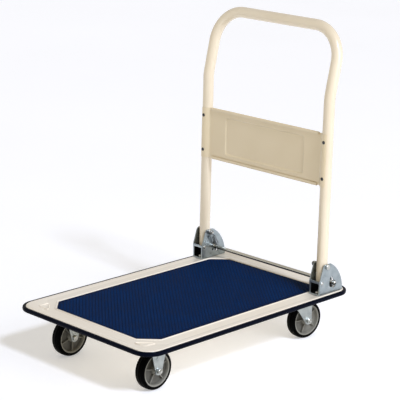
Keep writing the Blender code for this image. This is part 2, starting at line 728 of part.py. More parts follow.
def panel_rivets(steel):
    """Blind rivets with domed heads, hollow ends left out."""
    for (where, side), (x, z) in panel_rivet_places().items():
        bore = TUBE_RADIUS - TUBE_WALL
        curve = bore - math.sqrt(bore ** 2 - PANEL_RIVET_TAIL ** 2)   # tail sits clear of the tube's curved wall
        grip = PANEL_SHEET + TUBE_WALL + 4 * GAP + 1.6 * curve
        shape = turned(headed_pin(grip, PANEL_RIVET_RADIUS, 0.0044, 0.0018, PANEL_RIVET_TAIL, 0.0030), 10)
        front = HANDLE_Y - TUBE_RADIUS - PANEL_SHEET - 2 * GAP
        new_object(f"panel_rivet_{where}_{side}", facing(shape, 1, (x, front, z), math.pi / 2), steel, smooth=True)


def tangent_point(point, centre, radius, turn):
    """Where a line from a point touches a circle, on the side given by turn."""
    away = Vector(point) - Vector(centre)
    angle = math.atan2(away.y, away.x) + turn * math.acos(radius / away.length)
    return angle


def fork_leg(top_front, top_rear, top, axle_y, front_slant, rear_slant):
    """Outline of a fork's leg in YZ: down from the crown to a round tip on the axle."""
    centre = (axle_y, WHEEL_RADIUS)
    points = [(top_rear, top), (top_front, top)]
    start = tangent_point((top_front, top), centre, FORK_TIP, 1) if front_slant else math.pi
    end = math.tau + tangent_point((top_rear, top), centre, FORK_TIP, -1) if rear_slant else math.tau
    for step in range(7):
        angle = start + (end - start) * step / 6
        points.append((axle_y + FORK_TIP * math.cos(angle), WHEEL_RADIUS + FORK_TIP * math.sin(angle)))
    return points


def plate_shape(top):
    """Caster mounting plate with four bolt holes, centred on the origin."""
    plate = new_object("plate", prism(outline(PLATE_X / 2, PLATE_Y / 2, 0.008, 2), top - PLATE_SHEET, top))
    drills = []
    for sx in (-1, 1):
        for sy in (-1, 1):
            drill = round_bar(top - 0.01, top + 0.01, PLATE_HOLE, 10, "Z")
            x = sx * (PLATE_X / 2 - PLATE_HOLE_MARGIN)
            y = sy * (PLATE_Y / 2 - PLATE_HOLE_MARGIN)
            drills.append(moved(drill, (x, y, 0)))
    return carve(plate, combined(drills))


def lifted(obj):
    """Take an object's mesh back as a bmesh and remove the object."""
    shape = bmesh.new()
    shape.from_mesh(obj.data)
    bpy.data.objects.remove(obj)
    return shape


def finished(obj, name, surface, place, angle=0.0):
    """Name, colour and place a piece built at the origin."""
    shape = lifted(obj)
    return new_object(name, moved(shape, place, angle), surface, smooth=True)


def leg_holes():
    """Axle holes through both legs."""
    return round_bar(-0.04, 0.04, AXLE_RADIUS + HOLE_FIT)


def fixed_fork(name, zinc, place):
    """Rigid caster: plate and two legs folded down from it."""
    legs = fork_leg(-FIXED_LEG_HALF, FIXED_LEG_HALF, CASTER_TOP - PLATE_SHEET / 2, 0.0, True, True)
    fork = new_object("fork", prism(legs, -FORK_HALF, FORK_HALF, "X"))
    inside = FORK_INSIDE / 2
    carve(fork, box((-inside, inside), (-0.05, 0.05), (0.0, CASTER_TOP - PLATE_SHEET)))
    carve(fork, lifted(plate_shape(CASTER_TOP)), "UNION")
    carve(fork, moved(leg_holes(), (0, 0, WHEEL_RADIUS)))
    return finished(fork, name, zinc, place)


def swivel_fork(name, zinc, place, angle):
    """Swivelling fork: round crown under the race, two raked legs behind the kingpin."""
    legs = fork_leg(-SWIVEL_CROWN_FRONT, TRAIL + FORK_TIP, CROWN_TOP, TRAIL, True, False)
    fork = new_object("fork", prism(legs, -FORK_HALF, FORK_HALF, "X"))
    inside = FORK_INSIDE / 2
    below = CROWN_TOP - FORK_SHEET
    carve(fork, box((-inside, inside), (-0.1, 0.1), (0.0, below)))
    carve(fork, round_bar(below, CROWN_TOP, RACE_RADIUS, 20, "Z"), "UNION")
    carve(fork, round_bar(below - 0.01, CROWN_TOP + 0.01, KINGPIN_RADIUS + RUNNING_FIT, axis="Z"))
    carve(fork, moved(leg_holes(), (0, TRAIL, WHEEL_RADIUS)))
    return finished(fork, name, zinc, place, angle)


def swivel_mount(side, zinc, steel, place):
    """Top plate, ball race and kingpin of a swivel caster."""
    finished(plate_shape(CASTER_TOP), f"swivel_plate_{side}", zinc, place)
    bottom = CASTER_TOP - PLATE_SHEET
    bore = KINGPIN_RADIUS + RUNNING_FIT
    carve(bpy.data.objects[f"swivel_plate_{side}"],
          moved(round_bar(bottom - 0.01, CASTER_TOP + 0.01, bore, axis="Z"), place))
    race_top, race_low = bottom - GAP, bottom - GAP - RACE_HEIGHT
    race = turned([(race_low, bore), (race_low, RACE_RADIUS * 0.9), (race_low + RACE_HEIGHT * 0.4, RACE_RADIUS),
                   (race_top - 0.001, RACE_RADIUS), (race_top, RACE_RADIUS * 0.94), (race_top, bore)], 20, "Z")
    new_object(f"swivel_race_{side}", moved(race, place), zinc, smooth=True)
    under = CROWN_TOP - FORK_SHEET - GAP
    top = CASTER_TOP
    pin = turned([(under - 0.003, 0), (under - 0.003, KINGPIN_HEAD * 0.8), (under - 0.0005, KINGPIN_HEAD),
                  (under, KINGPIN_HEAD), (under, KINGPIN_RADIUS), (top, KINGPIN_RADIUS), (top, 0)], 12, "Z")
    new_object(f"kingpin_{side}", moved(pin, place), steel, smooth=True)


def hub_shape():
    """Moulded wheel centre: rim, thin web, boss and five ribs on each face."""
    half, web = TYRE_WIDTH / 2 - 0.0015, HUB_WEB / 2
    bore = AXLE_RADIUS + SLEEVE_WALL + HOLE_FIT + RUNNING_FIT
    boss = FORK_INSIDE / 2 - 0.001
    inner = RIM_RADIUS - RIM_WALL
    profile = [(-half, inner), (-half, RIM_RADIUS), (half, RIM_RADIUS), (half, inner), (web, inner - 0.001),
               (web, BOSS_RADIUS + 0.001), (boss, BOSS_RADIUS), (boss, bore), (-boss, bore), (-boss, BOSS_RADIUS),
               (-web, BOSS_RADIUS + 0.001), (-web, inner - 0.001)]
    hub = new_object("hub", turned(profile, WHEEL_SEGMENTS))
    ribs = []
    for spoke in range(HUB_SPOKES):
        reach = half - 0.004
        rib = box((-reach, reach), (BOSS_RADIUS - 0.002, inner + 0.0012), (-SPOKE_THICKNESS / 2, SPOKE_THICKNESS / 2))
        turn = Matrix.Rotation(math.tau * spoke / HUB_SPOKES - math.pi / 2, 4, "X")
        bmesh.ops.transform(rib, matrix=turn, verts=rib.verts)
        ribs.append(rib)
    return carve(hub, combined(ribs), "UNION")


def tyre_shape():
    """Rubber tyre with flat tread and rounded shoulders, standing on one of its flats."""
    half = TYRE_WIDTH / 2
    outer = WHEEL_RADIUS / math.cos(math.pi / WHEEL_SEGMENTS)
    seat = (RIM_RADIUS + GAP) / math.cos(math.pi / WHEEL_SEGMENTS)
    profile = [(-half + 0.001, seat), (half - 0.001, seat), (half, seat + 0.003), (half - 0.001, outer - 0.003),
               (half - 0.004, outer), (-half + 0.004, outer), (-half + 0.001, outer - 0.003), (-half, seat + 0.003)]
    return turned(profile, WHEEL_SEGMENTS)


def wheel(label, side, place, angle, plastic, rubber, steel):
    """Tyre, hub, axle sleeve, bolt and nut; the spin axis is the wheel's own X."""
    sign = SIDES[side]
    new_object(f"tyre_{label}", moved(tyre_shape(), place, angle), rubber, smooth=True)
    finished(hub_shape(), f"hub_{label}", plastic, place, angle)
    sleeve = FORK_INSIDE / 2 - GAP
    bore = AXLE_RADIUS + HOLE_FIT
    ring = [(-sleeve, bore), (-sleeve, bore + SLEEVE_WALL), (sleeve, bore + SLEEVE_WALL), (sleeve, bore)]
    new_object(f"axle_sleeve_{label}", moved(turned(ring, 12), place, angle), steel, smooth=True)
    face = FORK_HALF + GAP
    along = Vector((math.cos(angle), math.sin(angle), 0))
    bolt = hex_bolt(2 * face + NUT_HEIGHT + 0.002, AXLE_RADIUS, HEAD_FLATS, HEAD_HEIGHT)
    new_object(f"axle_bolt_{label}", facing(bolt, sign, Vector(place) - along * face * sign, angle), steel)
    nut = hex_nut(AXLE_RADIUS + HOLE_FIT, HEAD_FLATS, NUT_HEIGHT)
    new_object(f"axle_nut_{label}", facing(nut, sign, Vector(place) + along * face * sign, angle), steel)


def build():
    """Every piece of the cart, from the deck outwards."""
    for obj in list(bpy.data.objects):
        bpy.data.objects.remove(obj)
    cream = material("cream powder coat", "F0E6D6", 0.35)
    navy_mat = material("navy rubber mat", "14284F", 0.7)
    navy_vinyl = material("navy vinyl", "0E1B3C", 0.45)
    black_steel = material("painted underside steel", "D8CCB8", 0.5)
    zinc = material("zinc plate", "A9B4BC", 0.35, 1.0)
    bright = material("bright steel", "C4C4C0", 0.3, 1.0)
    spring_steel = material("spring steel", "8A8D8F", 0.35, 1.0)
    grey = material("grey nylon", "7E7D78", 0.5)
    black = material("black rubber", "141414", 0.6)

    deck_pan(cream)
    mat(navy_mat)
    bumper(navy_vinyl)
    stiffener("cross_member_front", black_steel, FIXED_Y, MEMBER_LENGTH, MEMBER_WIDTH)
    stiffener("cross_member_rear", black_steel, SWIVEL_Y, MEMBER_LENGTH, MEMBER_WIDTH)
    rib_length = SWIVEL_Y - FIXED_Y - MEMBER_WIDTH - 2 * GAP
    stiffener("centre_rib", black_steel, (SWIVEL_Y + FIXED_Y) / 2, rib_length, RIB_WIDTH, along="Y")

    handle_tube(cream)
    sign_panel(cream)
    panel_rivets(bright)
    release_bar(bright)
    for side in SIDES:
        bracket(side, zinc)
        bracket_rivets(side, bright)
        stop_pin(side, bright)
        pivot_fasteners(side, bright)
        bar_clip(side, spring_steel)
        return_spring(side, spring_steel)

    for side, sign in SIDES.items():
        base = Vector((sign * CASTER_X, FIXED_Y, 0))
        fixed_fork(f"fixed_fork_{side}", zinc, base)
        wheel(f"front_{side}", side, base + Vector((0, 0, WHEEL_RADIUS)), 0.0, grey, black, bright)
        base = Vector((sign * CASTER_X, SWIVEL_Y, 0))
        angle = SWIVEL_REST[side]
        swivel_mount(side, zinc, bright, base)
        swivel_fork(f"swivel_fork_{side}", zinc, base, angle)
        axle = base + Matrix.Rotation(angle, 3, "Z") @ Vector((0, TRAIL, WHEEL_RADIUS))
        wheel(f"rear_{side}", side, axle, angle, grey, black, bright)


build()
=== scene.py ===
from math import acos, asin, atan2, cos, dist, hypot, pi, radians, sin, sqrt, tau

import bmesh
import bpy
from mathutils import Matrix, Vector


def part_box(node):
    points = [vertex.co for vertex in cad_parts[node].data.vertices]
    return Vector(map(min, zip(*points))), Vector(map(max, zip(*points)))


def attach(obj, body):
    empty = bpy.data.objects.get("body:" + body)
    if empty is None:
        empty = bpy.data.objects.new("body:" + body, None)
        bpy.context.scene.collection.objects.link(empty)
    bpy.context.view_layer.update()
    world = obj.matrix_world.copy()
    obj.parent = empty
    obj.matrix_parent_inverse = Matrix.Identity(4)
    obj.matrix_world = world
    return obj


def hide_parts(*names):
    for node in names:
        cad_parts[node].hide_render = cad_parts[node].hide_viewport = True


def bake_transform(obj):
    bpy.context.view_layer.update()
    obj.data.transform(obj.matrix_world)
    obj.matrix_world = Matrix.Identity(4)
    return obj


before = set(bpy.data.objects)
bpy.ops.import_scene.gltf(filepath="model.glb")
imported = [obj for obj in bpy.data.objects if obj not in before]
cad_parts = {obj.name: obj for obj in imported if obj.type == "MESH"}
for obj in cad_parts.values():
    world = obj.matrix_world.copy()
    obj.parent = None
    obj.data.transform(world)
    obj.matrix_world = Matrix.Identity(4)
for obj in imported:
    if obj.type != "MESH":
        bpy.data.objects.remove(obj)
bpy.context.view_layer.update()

# ---- Deck pan ----
# One sheet of 1.5 mm steel, pressed in a die: a short skirt, a rolled edge, a bare border with a
# soft crease, a raised bead, and a recess for the mat. Powder coated cream after pressing.


def colour(code):
    """Linear RGBA from an sRGB hex value."""
    parts = [int(code[i:i + 2], 16) / 255 for i in (0, 2, 4)]
    return [c / 12.92 if c <= 0.04045 else ((c + 0.055) / 1.055) ** 2.4 for c in parts] + [1.0]


def add(tree, kind, links=None, **settings):
    """One node with its settings; links gives its inputs as values or as other nodes' outputs."""
    node = tree.nodes.new("ShaderNode" + kind)
    for name, value in settings.items():
        setattr(node, name, value)
    for name, value in (links or {}).items():
        if isinstance(value, bpy.types.NodeSocket):
            tree.links.new(value, node.inputs[name])
        else:
            node.inputs[name].default_value = value
    return node


def finish_material(name, **sockets):
    """A material whose Principled shader has these sockets set; returns it, its tree and the shader."""
    made = bpy.data.materials.new(name)
    made.use_nodes = True
    tree = made.node_tree
    shader = tree.nodes["Principled BSDF"]
    for socket, value in sockets.items():
        shader.inputs[socket.replace("_", " ")].default_value = value
    return made, tree, shader


def clouded(name, tones, cloud, detail, grain, fine, bump, rough=None, across=None, **sockets):
    """A material that drifts between two colours in clouds of so many mm, under a fine grain.

    Its gloss can follow the clouds, and across scales clouds and grain along each axis."""
    made, tree, shader = finish_material(name, **sockets)
    place = add(tree, "TexCoord").outputs["Object"]
    if across:
        place = add(tree, "Mapping", {"Vector": place, "Scale": across}).outputs["Vector"]
    tone = add(tree, "TexNoise", {"Vector": place, "Scale": 1000 / cloud, "Detail": detail}).outputs["Fac"]
    share = add(tree, "MapRange", {"Value": tone, "From Min": 0.3, "From Max": 0.7}).outputs["Result"]
    low, high = map(colour, tones)
    tint = add(tree, "Mix", {"Factor": share, "A": low, "B": high}, data_type="RGBA")
    tree.links.new(tint.outputs["Result"], shader.inputs["Base Color"])
    if rough:
        gloss = add(tree, "MapRange", {"Value": share, "To Min": rough[0], "To Max": rough[1]})
        tree.links.new(gloss.outputs["Result"], shader.inputs["Roughness"])
    height = add(tree, "TexNoise", {"Vector": place, "Scale": 1000 / grain, "Detail": fine}).outputs["Fac"]
    relief = add(tree, "Bump", {"Height": height, "Strength": bump[0], "Distance": bump[1]})
    tree.links.new(relief.outputs["Normal"], shader.inputs["Normal"])
    return made


def powder_coat(name, *tones):
    """Baked polyester powder: warm cream, half gloss, with the faint orange peel of melted powder."""
    made = clouded(name, tones, 190, 2.0, 2.6, 1.0, (0.16, 0.0002), Coat_Weight=1.0, Coat_Roughness=0.18)
    tree = made.node_tree
    place = add(tree, "TexCoord").outputs["Object"]
    haze = add(tree, "TexNoise", {"Vector": place, "Scale": 1000 / 60, "Detail": 4.0}).outputs["Fac"]
    limits = {"From Min": 0.3, "From Max": 0.7, "To Min": 0.34, "To Max": 0.44}
    gloss = add(tree, "MapRange", {"Value": haze, **limits})
    tree.links.new(gloss.outputs["Result"], tree.nodes["Principled BSDF"].inputs["Roughness"])
    return made


def skin(rings, ends=True, ring_path=False):
    """Faces between rings of equal length, capped at both ends unless the path closes on itself."""
    shape = bmesh.new()
    loops = [[shape.verts.new(point) for point in ring] for ring in rings]
    pairs = list(zip(loops, loops[1:]))
    if ring_path:
        pairs.append((loops[-1], loops[0]))
    for lower, upper in pairs:
        for i in range(len(lower)):
            j = (i + 1) % len(lower)
            shape.faces.new((lower[i], lower[j], upper[j], upper[i]))
    if ends and not ring_path:
        shape.faces.new(loops[0])
        shape.faces.new(loops[-1])
    return shape


def placed(name, data):
    """An object in the scene."""
    obj = bpy.data.objects.new(name, data)
    bpy.context.scene.collection.objects.link(obj)
    return obj


def shaped(name, shape, coat, smooth=35):
    """An object from a bmesh, faces outwards, smooth except at edges sharper than that angle."""
    bmesh.ops.recalc_face_normals(shape, faces=shape.faces)
    mesh = bpy.data.meshes.new(name)
    shape.to_mesh(mesh)
    shape.free()
    if coat:
        mesh.materials.append(coat)
    mesh.shade_smooth()
    mesh.set_sharp_from_angle(angle=radians(smooth))
    return placed(name, mesh)


def fitted(obj, body, slot, *nodes):
    """The piece moves with a body and stands for these nodes, which are hidden. Its slot is not used."""
    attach(obj, body)
    if nodes:
        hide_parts(*nodes)
    return obj


def softened(obj, width):
    """Break the sharp edges of a stamped or moulded piece."""
    edge = obj.modifiers.new("broken edge", "BEVEL")
    edge.width = width
    edge.segments = 2
    edge.limit_method = "ANGLE"
    edge.angle_limit = radians(40)
    edge.harden_normals = True
    return obj


def settled(obj):
    """Apply the modifiers of a piece."""
    bpy.context.view_layer.update()
    evaluated = obj.evaluated_get(bpy.context.evaluated_depsgraph_get())
    mesh = bpy.data.meshes.new_from_object(evaluated)
    old = obj.data
    obj.modifiers.clear()
    obj.data = mesh
    bpy.data.meshes.remove(old)
    return obj


def cleaned(obj, smooth=30):
    """Shade a piece smooth except at its real edges."""
    obj.data.shade_smooth()
    obj.data.set_sharp_from_angle(angle=radians(smooth))
    return obj


def thickened(obj, sheet, offset):
    """Give a surface the thickness of its sheet, to one side or to both."""
    gauge = obj.modifiers.new("sheet", "SOLIDIFY")
    gauge.thickness = sheet
    gauge.offset = offset
    return settled(obj)


# Painted light: the deck's coat is lighter and whiter than the same cream paint on the tube and panel, for
# its lit top.
lit_deck_coat = powder_coat("cream powder coat on the deck, lightened as painted light", "EFE4CF", "F4EBD9")

pan_low, pan_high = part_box("deck_pan")
mat_low, mat_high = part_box("mat")
mat_half_y, mat_middle_y = (mat_high.y - mat_low.y) / 2, (mat_high.y + mat_low.y) / 2
PAN_LIP = 0.0012             # height of the bead round the recess in the CAD
BEAD_TALL = 0.0017           # height of the same bead here, at its rounded crest
DECK_TOP = pan_high.z - PAN_LIP
PAN_CORNER = 0.040
PAN_ROLL = 0.0045
PAN_SHEET = 0.0015
PAN_CORNER_STEPS = 14
BORDER_TROUGH = 0.029        # lowest line of the border, from the edge of the recess
BORDER_DIP = 0.0015
BORDER_LAND = 0.0003         # drop beside that bead
MAT_GAP = 0.0006
MAT_CORNER = 0.040
LIP_WIDTH = 0.0050
RECESS = 0.002


def spread(first, last, steps):
    """Evenly spaced values, with both ends."""
    return [first + (last - first) * step / steps for step in range(steps + 1)]


def arc(radius, first, last, steps, centre=(0, 0)):
    """Points of an arc in a plane, with both its ends."""
    angles = spread(first, last, steps)
    return [(centre[0] + radius * cos(angle), centre[1] + radius * sin(angle)) for angle in angles]


def corner_loop(half_x, half_y, corner, middle_y, cut_corners, height):
    """Rectangle in XY with rounded or straight-cut corners, the same number of points each way."""
    loop = []
    for quarter, (sx, sy) in enumerate(((1, 1), (-1, 1), (-1, -1), (1, -1))):
        first = quarter * pi / 2
        for share in spread(0, 1, PAN_CORNER_STEPS):
            angle = first + share * pi / 2
            offset = Vector((cos(angle), sin(angle))) * corner
            if cut_corners:
                offset = Vector((cos(first), sin(first))).lerp((-sin(first), cos(first)), share) * corner
            x, y = sx * (half_x - corner) + offset.x, sy * (half_y - corner) + offset.y + middle_y
            loop.append(Vector((x, y, height)))
    return loop


def edge_loop(inset, height):
    """Loop parallel to the deck's outer edge."""
    return corner_loop(pan_high.x - inset, pan_high.y - inset, PAN_CORNER - inset, 0, False, height)


def recess_loop(outset, height):
    """Loop parallel to the edge of the recess."""
    grown = MAT_GAP + outset
    corner = MAT_CORNER + outset * (2 - sqrt(2))
    return corner_loop(mat_high.x + grown, mat_half_y + grown, corner, mat_middle_y, True, height)


skirt = [(0.0035, 0), (0.0012, 0), (0.0003, 0.0004), (0.0, 0.0013)]
rings = [edge_loop(inset, pan_low.z + rise) for inset, rise in skirt]
for bend in spread(0, pi / 2, 8):
    rings.append(edge_loop(PAN_ROLL * (1 - cos(bend)), DECK_TOP - PAN_ROLL * (1 - sin(bend))))
rings.append(edge_loop(0.009, DECK_TOP))
rings.append(recess_loop(BORDER_TROUGH + 0.0070, DECK_TOP - 0.0003))
crease = [(0.0030, 0.70), (0.0012, 0.95), (0.0, 1.0), (-0.0015, 0.97), (-0.0040, 0.86), (-0.0140, 0.42)]
rings += [recess_loop(BORDER_TROUGH + out, DECK_TOP - BORDER_DIP * share) for out, share in crease]
rings.append(recess_loop(LIP_WIDTH + 0.0016, DECK_TOP - BORDER_LAND))
for swell in spread(0, 1, 8):
    base = -BORDER_LAND + swell * (BORDER_LAND - 0.0002)
    rise = (BEAD_TALL - base) * sin(swell * pi) ** 0.8
    rings.append(recess_loop(LIP_WIDTH * (1 - swell), DECK_TOP + base + rise))
rings += [recess_loop(out, DECK_TOP - RECESS) for out in (-0.0006, -0.06)]
shape = skin(rings, ends=False)
shape.verts.ensure_lookup_table()
shape.faces.new(shape.verts[-len(rings[0]):])
deck_sheet = shaped("deck_sheet", shape, lit_deck_coat)
if max(deck_sheet.data.polygons, key=lambda face: face.area).normal.z < 0:
    deck_sheet.data.flip_normals()
fitted(cleaned(thickened(deck_sheet, PAN_SHEET, -1.0), 50), "chassis", "powder_coat", "deck_pan")

# A triangular bead is pressed up in both front corners of the border, to stiffen them.
BEAD_HALF = 0.0021
BEAD_RISE = 0.0011
BEAD_INSET_X = 0.041
BEAD_INSET_Y = 0.029
BEAD_LEG = 0.037
BEAD_SECTION = [(-1, -0.0013), (-1, -0.0001), (-0.4, BEAD_RISE), (0.4, BEAD_RISE), (1, -0.0001), (1, -0.0013)]
for side in (-1, 1):
    tip = Vector((side * (pan_high.x - BEAD_INSET_X), pan_low.y + BEAD_INSET_Y))
    marks = [tip, tip - Vector((side * BEAD_LEG, 0)), tip + Vector((0, BEAD_LEG))]
    middle = (marks[0] + marks[1] + marks[2]) / 3
    rings = []
    for out, rise in BEAD_SECTION:
        ring = []
        for i in range(3):
            before, here, after = marks[i - 1], marks[i], marks[(i + 1) % 3]
            for share in spread(0, 1, 6):
                first, second = here.lerp(before, 0.2 * (1 - share)), here.lerp(after, 0.2 * share)
                point = first.lerp(second, share)
                point += (point - middle).normalized() * out * BEAD_HALF
                ring.append(Vector((point.x, point.y, DECK_TOP - 0.0003 + rise)))
        rings.append(ring)
    bead = shaped(f"corner_bead_{'left' if side < 0 else 'right'}", skin(rings, ring_path=True), lit_deck_coat)
    fitted(bead, "chassis", "powder_coat")

# ---- Cross members and centre rib ----
# Open channels folded from 2 mm sheet and spot welded under the deck. They carry the deck's cream,
# a little darker down here as painted shade.
shaded_under_coat = powder_coat("cream coat under the deck, darkened as painted shade", "C9B997", "D3C4A5")
FOLD_RADIUS = 0.0024
CHANNEL_SHEET = 0.002


def channel_section(half, low, high):
    """Section of an open channel, web down, with rounded folds."""
    outer, inner = [], []
    for side, start in ((-1, pi), (1, 1.5 * pi)):
        centre = (side * (half - FOLD_RADIUS), low + FOLD_RADIUS)
        outer += arc(FOLD_RADIUS, start, start + pi / 2, 4, centre)
        inner += arc(FOLD_RADIUS - CHANNEL_SHEET, start, start + pi / 2, 4, centre)
    left, right = -half, half
    return ([(left, high)] + outer + [(right, high), (right - CHANNEL_SHEET, high)] + inner[::-1]
            + [(left + CHANNEL_SHEET, high)])


for node in ("cross_member_front", "cross_member_rear", "centre_rib"):
    low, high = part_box(node)
    middle = (low + high) / 2
    if node == "centre_rib":
        section = channel_section((high.x - low.x) / 2, low.z, high.z)
        rings = [[Vector((middle.x + a, y, b)) for a, b in section] for y in (low.y, high.y)]
    else:
        section = channel_section((high.y - low.y) / 2, low.z, high.z)
        rings = [[Vector((x, middle.y + a, b)) for a, b in section] for x in (low.x, high.x)]
    fitted(shaped(node + "_channel", skin(rings), shaded_under_coat), "chassis", "underside_paint", node)

# ---- Mat ----
# Navy PVC sheet with a pattern of low lozenges for grip, cut to shape and glued in the recess.
# Its edge is left plain for a few millimetres, and it is soft, matt and a little uneven in tone.
LOZENGE_X = 0.0120
LOZENGE_Y = 0.0105
LOZENGE_LAND = 0.0030        # groove between two lozenges
LOZENGE_HEIGHT = 0.0009
MAT_RIM = 0.0045


def object_axes(made):
    """The X, Y and Z of the place on a piece, as sockets in a material."""
    tree = made.node_tree
    return add(tree, "SeparateXYZ", {"Vector": add(tree, "TexCoord").outputs["Object"]}).outputs


def paint_shade(made, where, dark, fade, most, least=0.0, within=None):
    """Painted shade over a material, from most of it to least as a socket's value goes from fade[0] to
    fade[1].
    """
    tree = made.node_tree
    limits = {"From Min": fade[0], "From Max": fade[1], "To Min": most, "To Max": least}
    share = add(tree, "MapRange", {"Value": where, **limits}).outputs["Result"]
    if within:
        share = add(tree, "Math", {0: within, 1: share}, operation="MULTIPLY").outputs["Value"]
    base = tree.nodes["Principled BSDF"].inputs["Base Color"]
    layers = {"Factor": share, "A": base.links[0].from_socket, "B": colour(dark)}
    tree.links.new(add(tree, "Mix", layers, data_type="RGBA").outputs["Result"], base)


def soft_plastic(name, low, high, roughness, gloss, grain, strength):
    """Calendered or moulded soft plastic: even colour with faint blotches and a fine matt grain."""
    return clouded(name, (low, high), 70, 3.0, grain, 2.0, (strength, 0.0002),
                   (roughness - 0.05, roughness + 0.06), Specular_IOR_Level=gloss)


navy_mat = soft_plastic("navy PVC mat", "08254C", "0C2D58", 0.6, 0.02, 1.1, 0.25)
mat_base = mat_high.z - LOZENGE_HEIGHT

# Painted shade: the mat darkens the lower it lies, so the grooves and the plain rim are darker than the
# lozenges' tops.
paint_shade(navy_mat, object_axes(navy_mat)["Z"], "04102A", (mat_base, mat_high.z - 0.0001), 0.62)
rings = [recess_loop(-MAT_GAP, mat_low.z), recess_loop(-MAT_GAP, mat_base - 0.0004),
         recess_loop(-MAT_GAP - 0.0004, mat_base), recess_loop(-0.02, mat_base)]
shape = skin(rings)


def lozenge(shape, x, y):
    """One raised lozenge with sloping sides, set on the sheet."""
    levels = ((1.0, mat_base - 0.0002), (1.0, mat_base), (0.72, mat_high.z))
    shrink = 1 - LOZENGE_LAND / hypot(LOZENGE_X, LOZENGE_Y)
    loops = []
    for size, height in levels:
        a, b = LOZENGE_X / 2 * shrink * size, LOZENGE_Y / 2 * shrink * size
        corners = ((a, 0), (0, b), (-a, 0), (0, -b))
        loops.append([shape.verts.new((x + dx, y + dy, height)) for dx, dy in corners])
    for lower, upper in zip(loops, loops[1:]):
        for i in range(4):
            shape.faces.new((lower[i], lower[i - 3], upper[i - 3], upper[i]))
    shape.faces.new(loops[0][::-1])
    shape.faces.new(loops[-1])


reach_x = mat_high.x - MAT_RIM - LOZENGE_X / 2
reach_y = mat_half_y - MAT_RIM - LOZENGE_Y / 2
corner_room = mat_high.x + mat_half_y - MAT_CORNER - MAT_RIM * 1.4 - LOZENGE_X / 2
columns = int(reach_x // LOZENGE_X) + 1
rows = int(reach_y // (LOZENGE_Y / 2)) + 1
for row in range(-rows, rows + 1):
    for column in range(-columns, columns + 1):
        x = (column + 0.5 * (row % 2)) * LOZENGE_X
        y = row * LOZENGE_Y / 2
        if abs(x) <= reach_x and abs(y) <= reach_y and abs(x) + abs(y) <= corner_room:
            lozenge(shape, x, y + mat_middle_y)
fitted(shaped("mat_sheet", shape, navy_mat, smooth=25), "chassis", "mat_rubber", "mat")

# ---- Bumper ----
# Extruded navy vinyl strip pushed round the skirt, with a rounded face and two shallow grooves.
# Extrusion leaves it smooth and half glossy, so it carries a long soft highlight.
bump_low, bump_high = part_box("bumper")
BUMPER_GAP = 0.0003
navy_vinyl = soft_plastic("extruded navy vinyl", "010412", "040918", 0.34, 0.035, 2.2, 0.12)
bumper_out = bump_high.x - pan_high.x
bumper_tall = bump_high.z - bump_low.z
section = [(BUMPER_GAP, bump_low.z), (bumper_out * 0.55, bump_low.z)]
for step in range(15):
    angle = -pi / 2 + pi * step / 14
    groove = 0.00045 if step in (5, 9) else 0.0
    out = bumper_out * 0.55 + (bumper_out * 0.45 - groove) * cos(angle) ** 0.8
    section.append((out, (bump_low.z + bump_high.z) / 2 + bumper_tall / 2 * sin(angle)))
section += [(bumper_out * 0.55, bump_high.z), (BUMPER_GAP, bump_high.z)]
section = [point for i, point in enumerate(section) if i == 0 or dist(point, section[i - 1]) > 0.0001]
rings = [edge_loop(-out, height) for out, height in section]
strip = skin(rings, ring_path=True)
fitted(shaped("bumper_strip", strip, navy_vinyl, smooth=60), "chassis", "bumper_vinyl", "bumper")

# ---- Casters ----
# Each fork is stamped from 2.5 mm steel and folded, then zinc plated and blue passivated.
# The front pair is rigid, plate and legs in one piece; the rear pair swivels on a ball race.


def plated(name, low, high, rough, across=(1, 1, 1)):
    """Bright zinc over rolled steel: cool grey metal, cloudy in gloss, with fine rolling marks."""
    return clouded(name, (low, high), 16, 5.0, 1.6, 2.0, (0.22, 0.0001), (rough - 0.08, rough + 0.1), across,
                   Metallic=1.0)


zinc_sheet = plated("blue passivated zinc on stamped steel", "989E9D", "B3B8B5", 0.31)
bright_steel = plated("bright zinc on turned steel", "A8AAA6", "C8C8C1", 0.24)


def prism(outline, low, high, axis="X"):
    """An outline given in YZ drawn along X, or one given in XY drawn along Z."""
    return skin([[Vector((level, a, b) if axis == "X" else (a, b, level)) for a, b in outline]
                 for level in (low, high)])


def block(xs, ys, zs):
    """Rectangular block between limits."""
    return prism([(xs[0], ys[0]), (xs[1], ys[0]), (xs[1], ys[1]), (xs[0], ys[1])], *zs, axis="Z")


def turned(profile, segments=40, axis="X", hexagon=()):
    """Revolve (along, radius) points; those listed in hexagon are across-flats half widths."""
    rings = []
    for index, (along, radius) in enumerate(profile):
        ring = []
        for step in range(segments):
            angle = tau * step / segments
            reach = radius
            if index in hexagon:
                reach = radius / cos((angle + pi / 6) % (pi / 3) - pi / 6)
            u, v = reach * cos(angle), reach * sin(angle)
            ring.append(Vector((along, u, v)) if axis == "X" else Vector((u, v, along)))
        rings.append(ring)
    if profile[0][1] == 0:
        return skin(rings[1:-1])
    return skin(rings, ring_path=True)


def both_ways(half):
    """A profile and its mirror image about the middle of the piece."""
    return half + [(-along, radius) for along, radius in reversed(half) if along]


def rod(low, high, radius, segments=32, axis="X"):
    """Plain round bar between two stations of its axis."""
    return turned([(low, 0), (low, radius), (high, radius), (high, 0)], segments, axis)


def moved(shape, place):
    """Shift a shape."""
    bmesh.ops.transform(shape, matrix=Matrix.Translation(place), verts=shape.verts)
    return shape


def together(shapes):
    """Separate closed shapes in one bmesh."""
    whole = bmesh.new()
    for shape in shapes:
        bmesh.ops.recalc_face_normals(shape, faces=shape.faces)
        part = bpy.data.meshes.new("part")
        shape.to_mesh(part)
        shape.free()
        whole.from_mesh(part)
        bpy.data.meshes.remove(part)
    return whole


def punched(obj, shape, operation="DIFFERENCE"):
    """Cut a shape from a piece, or weld it on."""
    tool = shaped("tool", shape, None)
    change = obj.modifiers.new("punch", "BOOLEAN")
    change.operation = operation
    change.object = tool
    change.solver = "EXACT"
    settled(obj)
    mesh = tool.data
    bpy.data.objects.remove(tool)
    bpy.data.meshes.remove(mesh)
    return obj


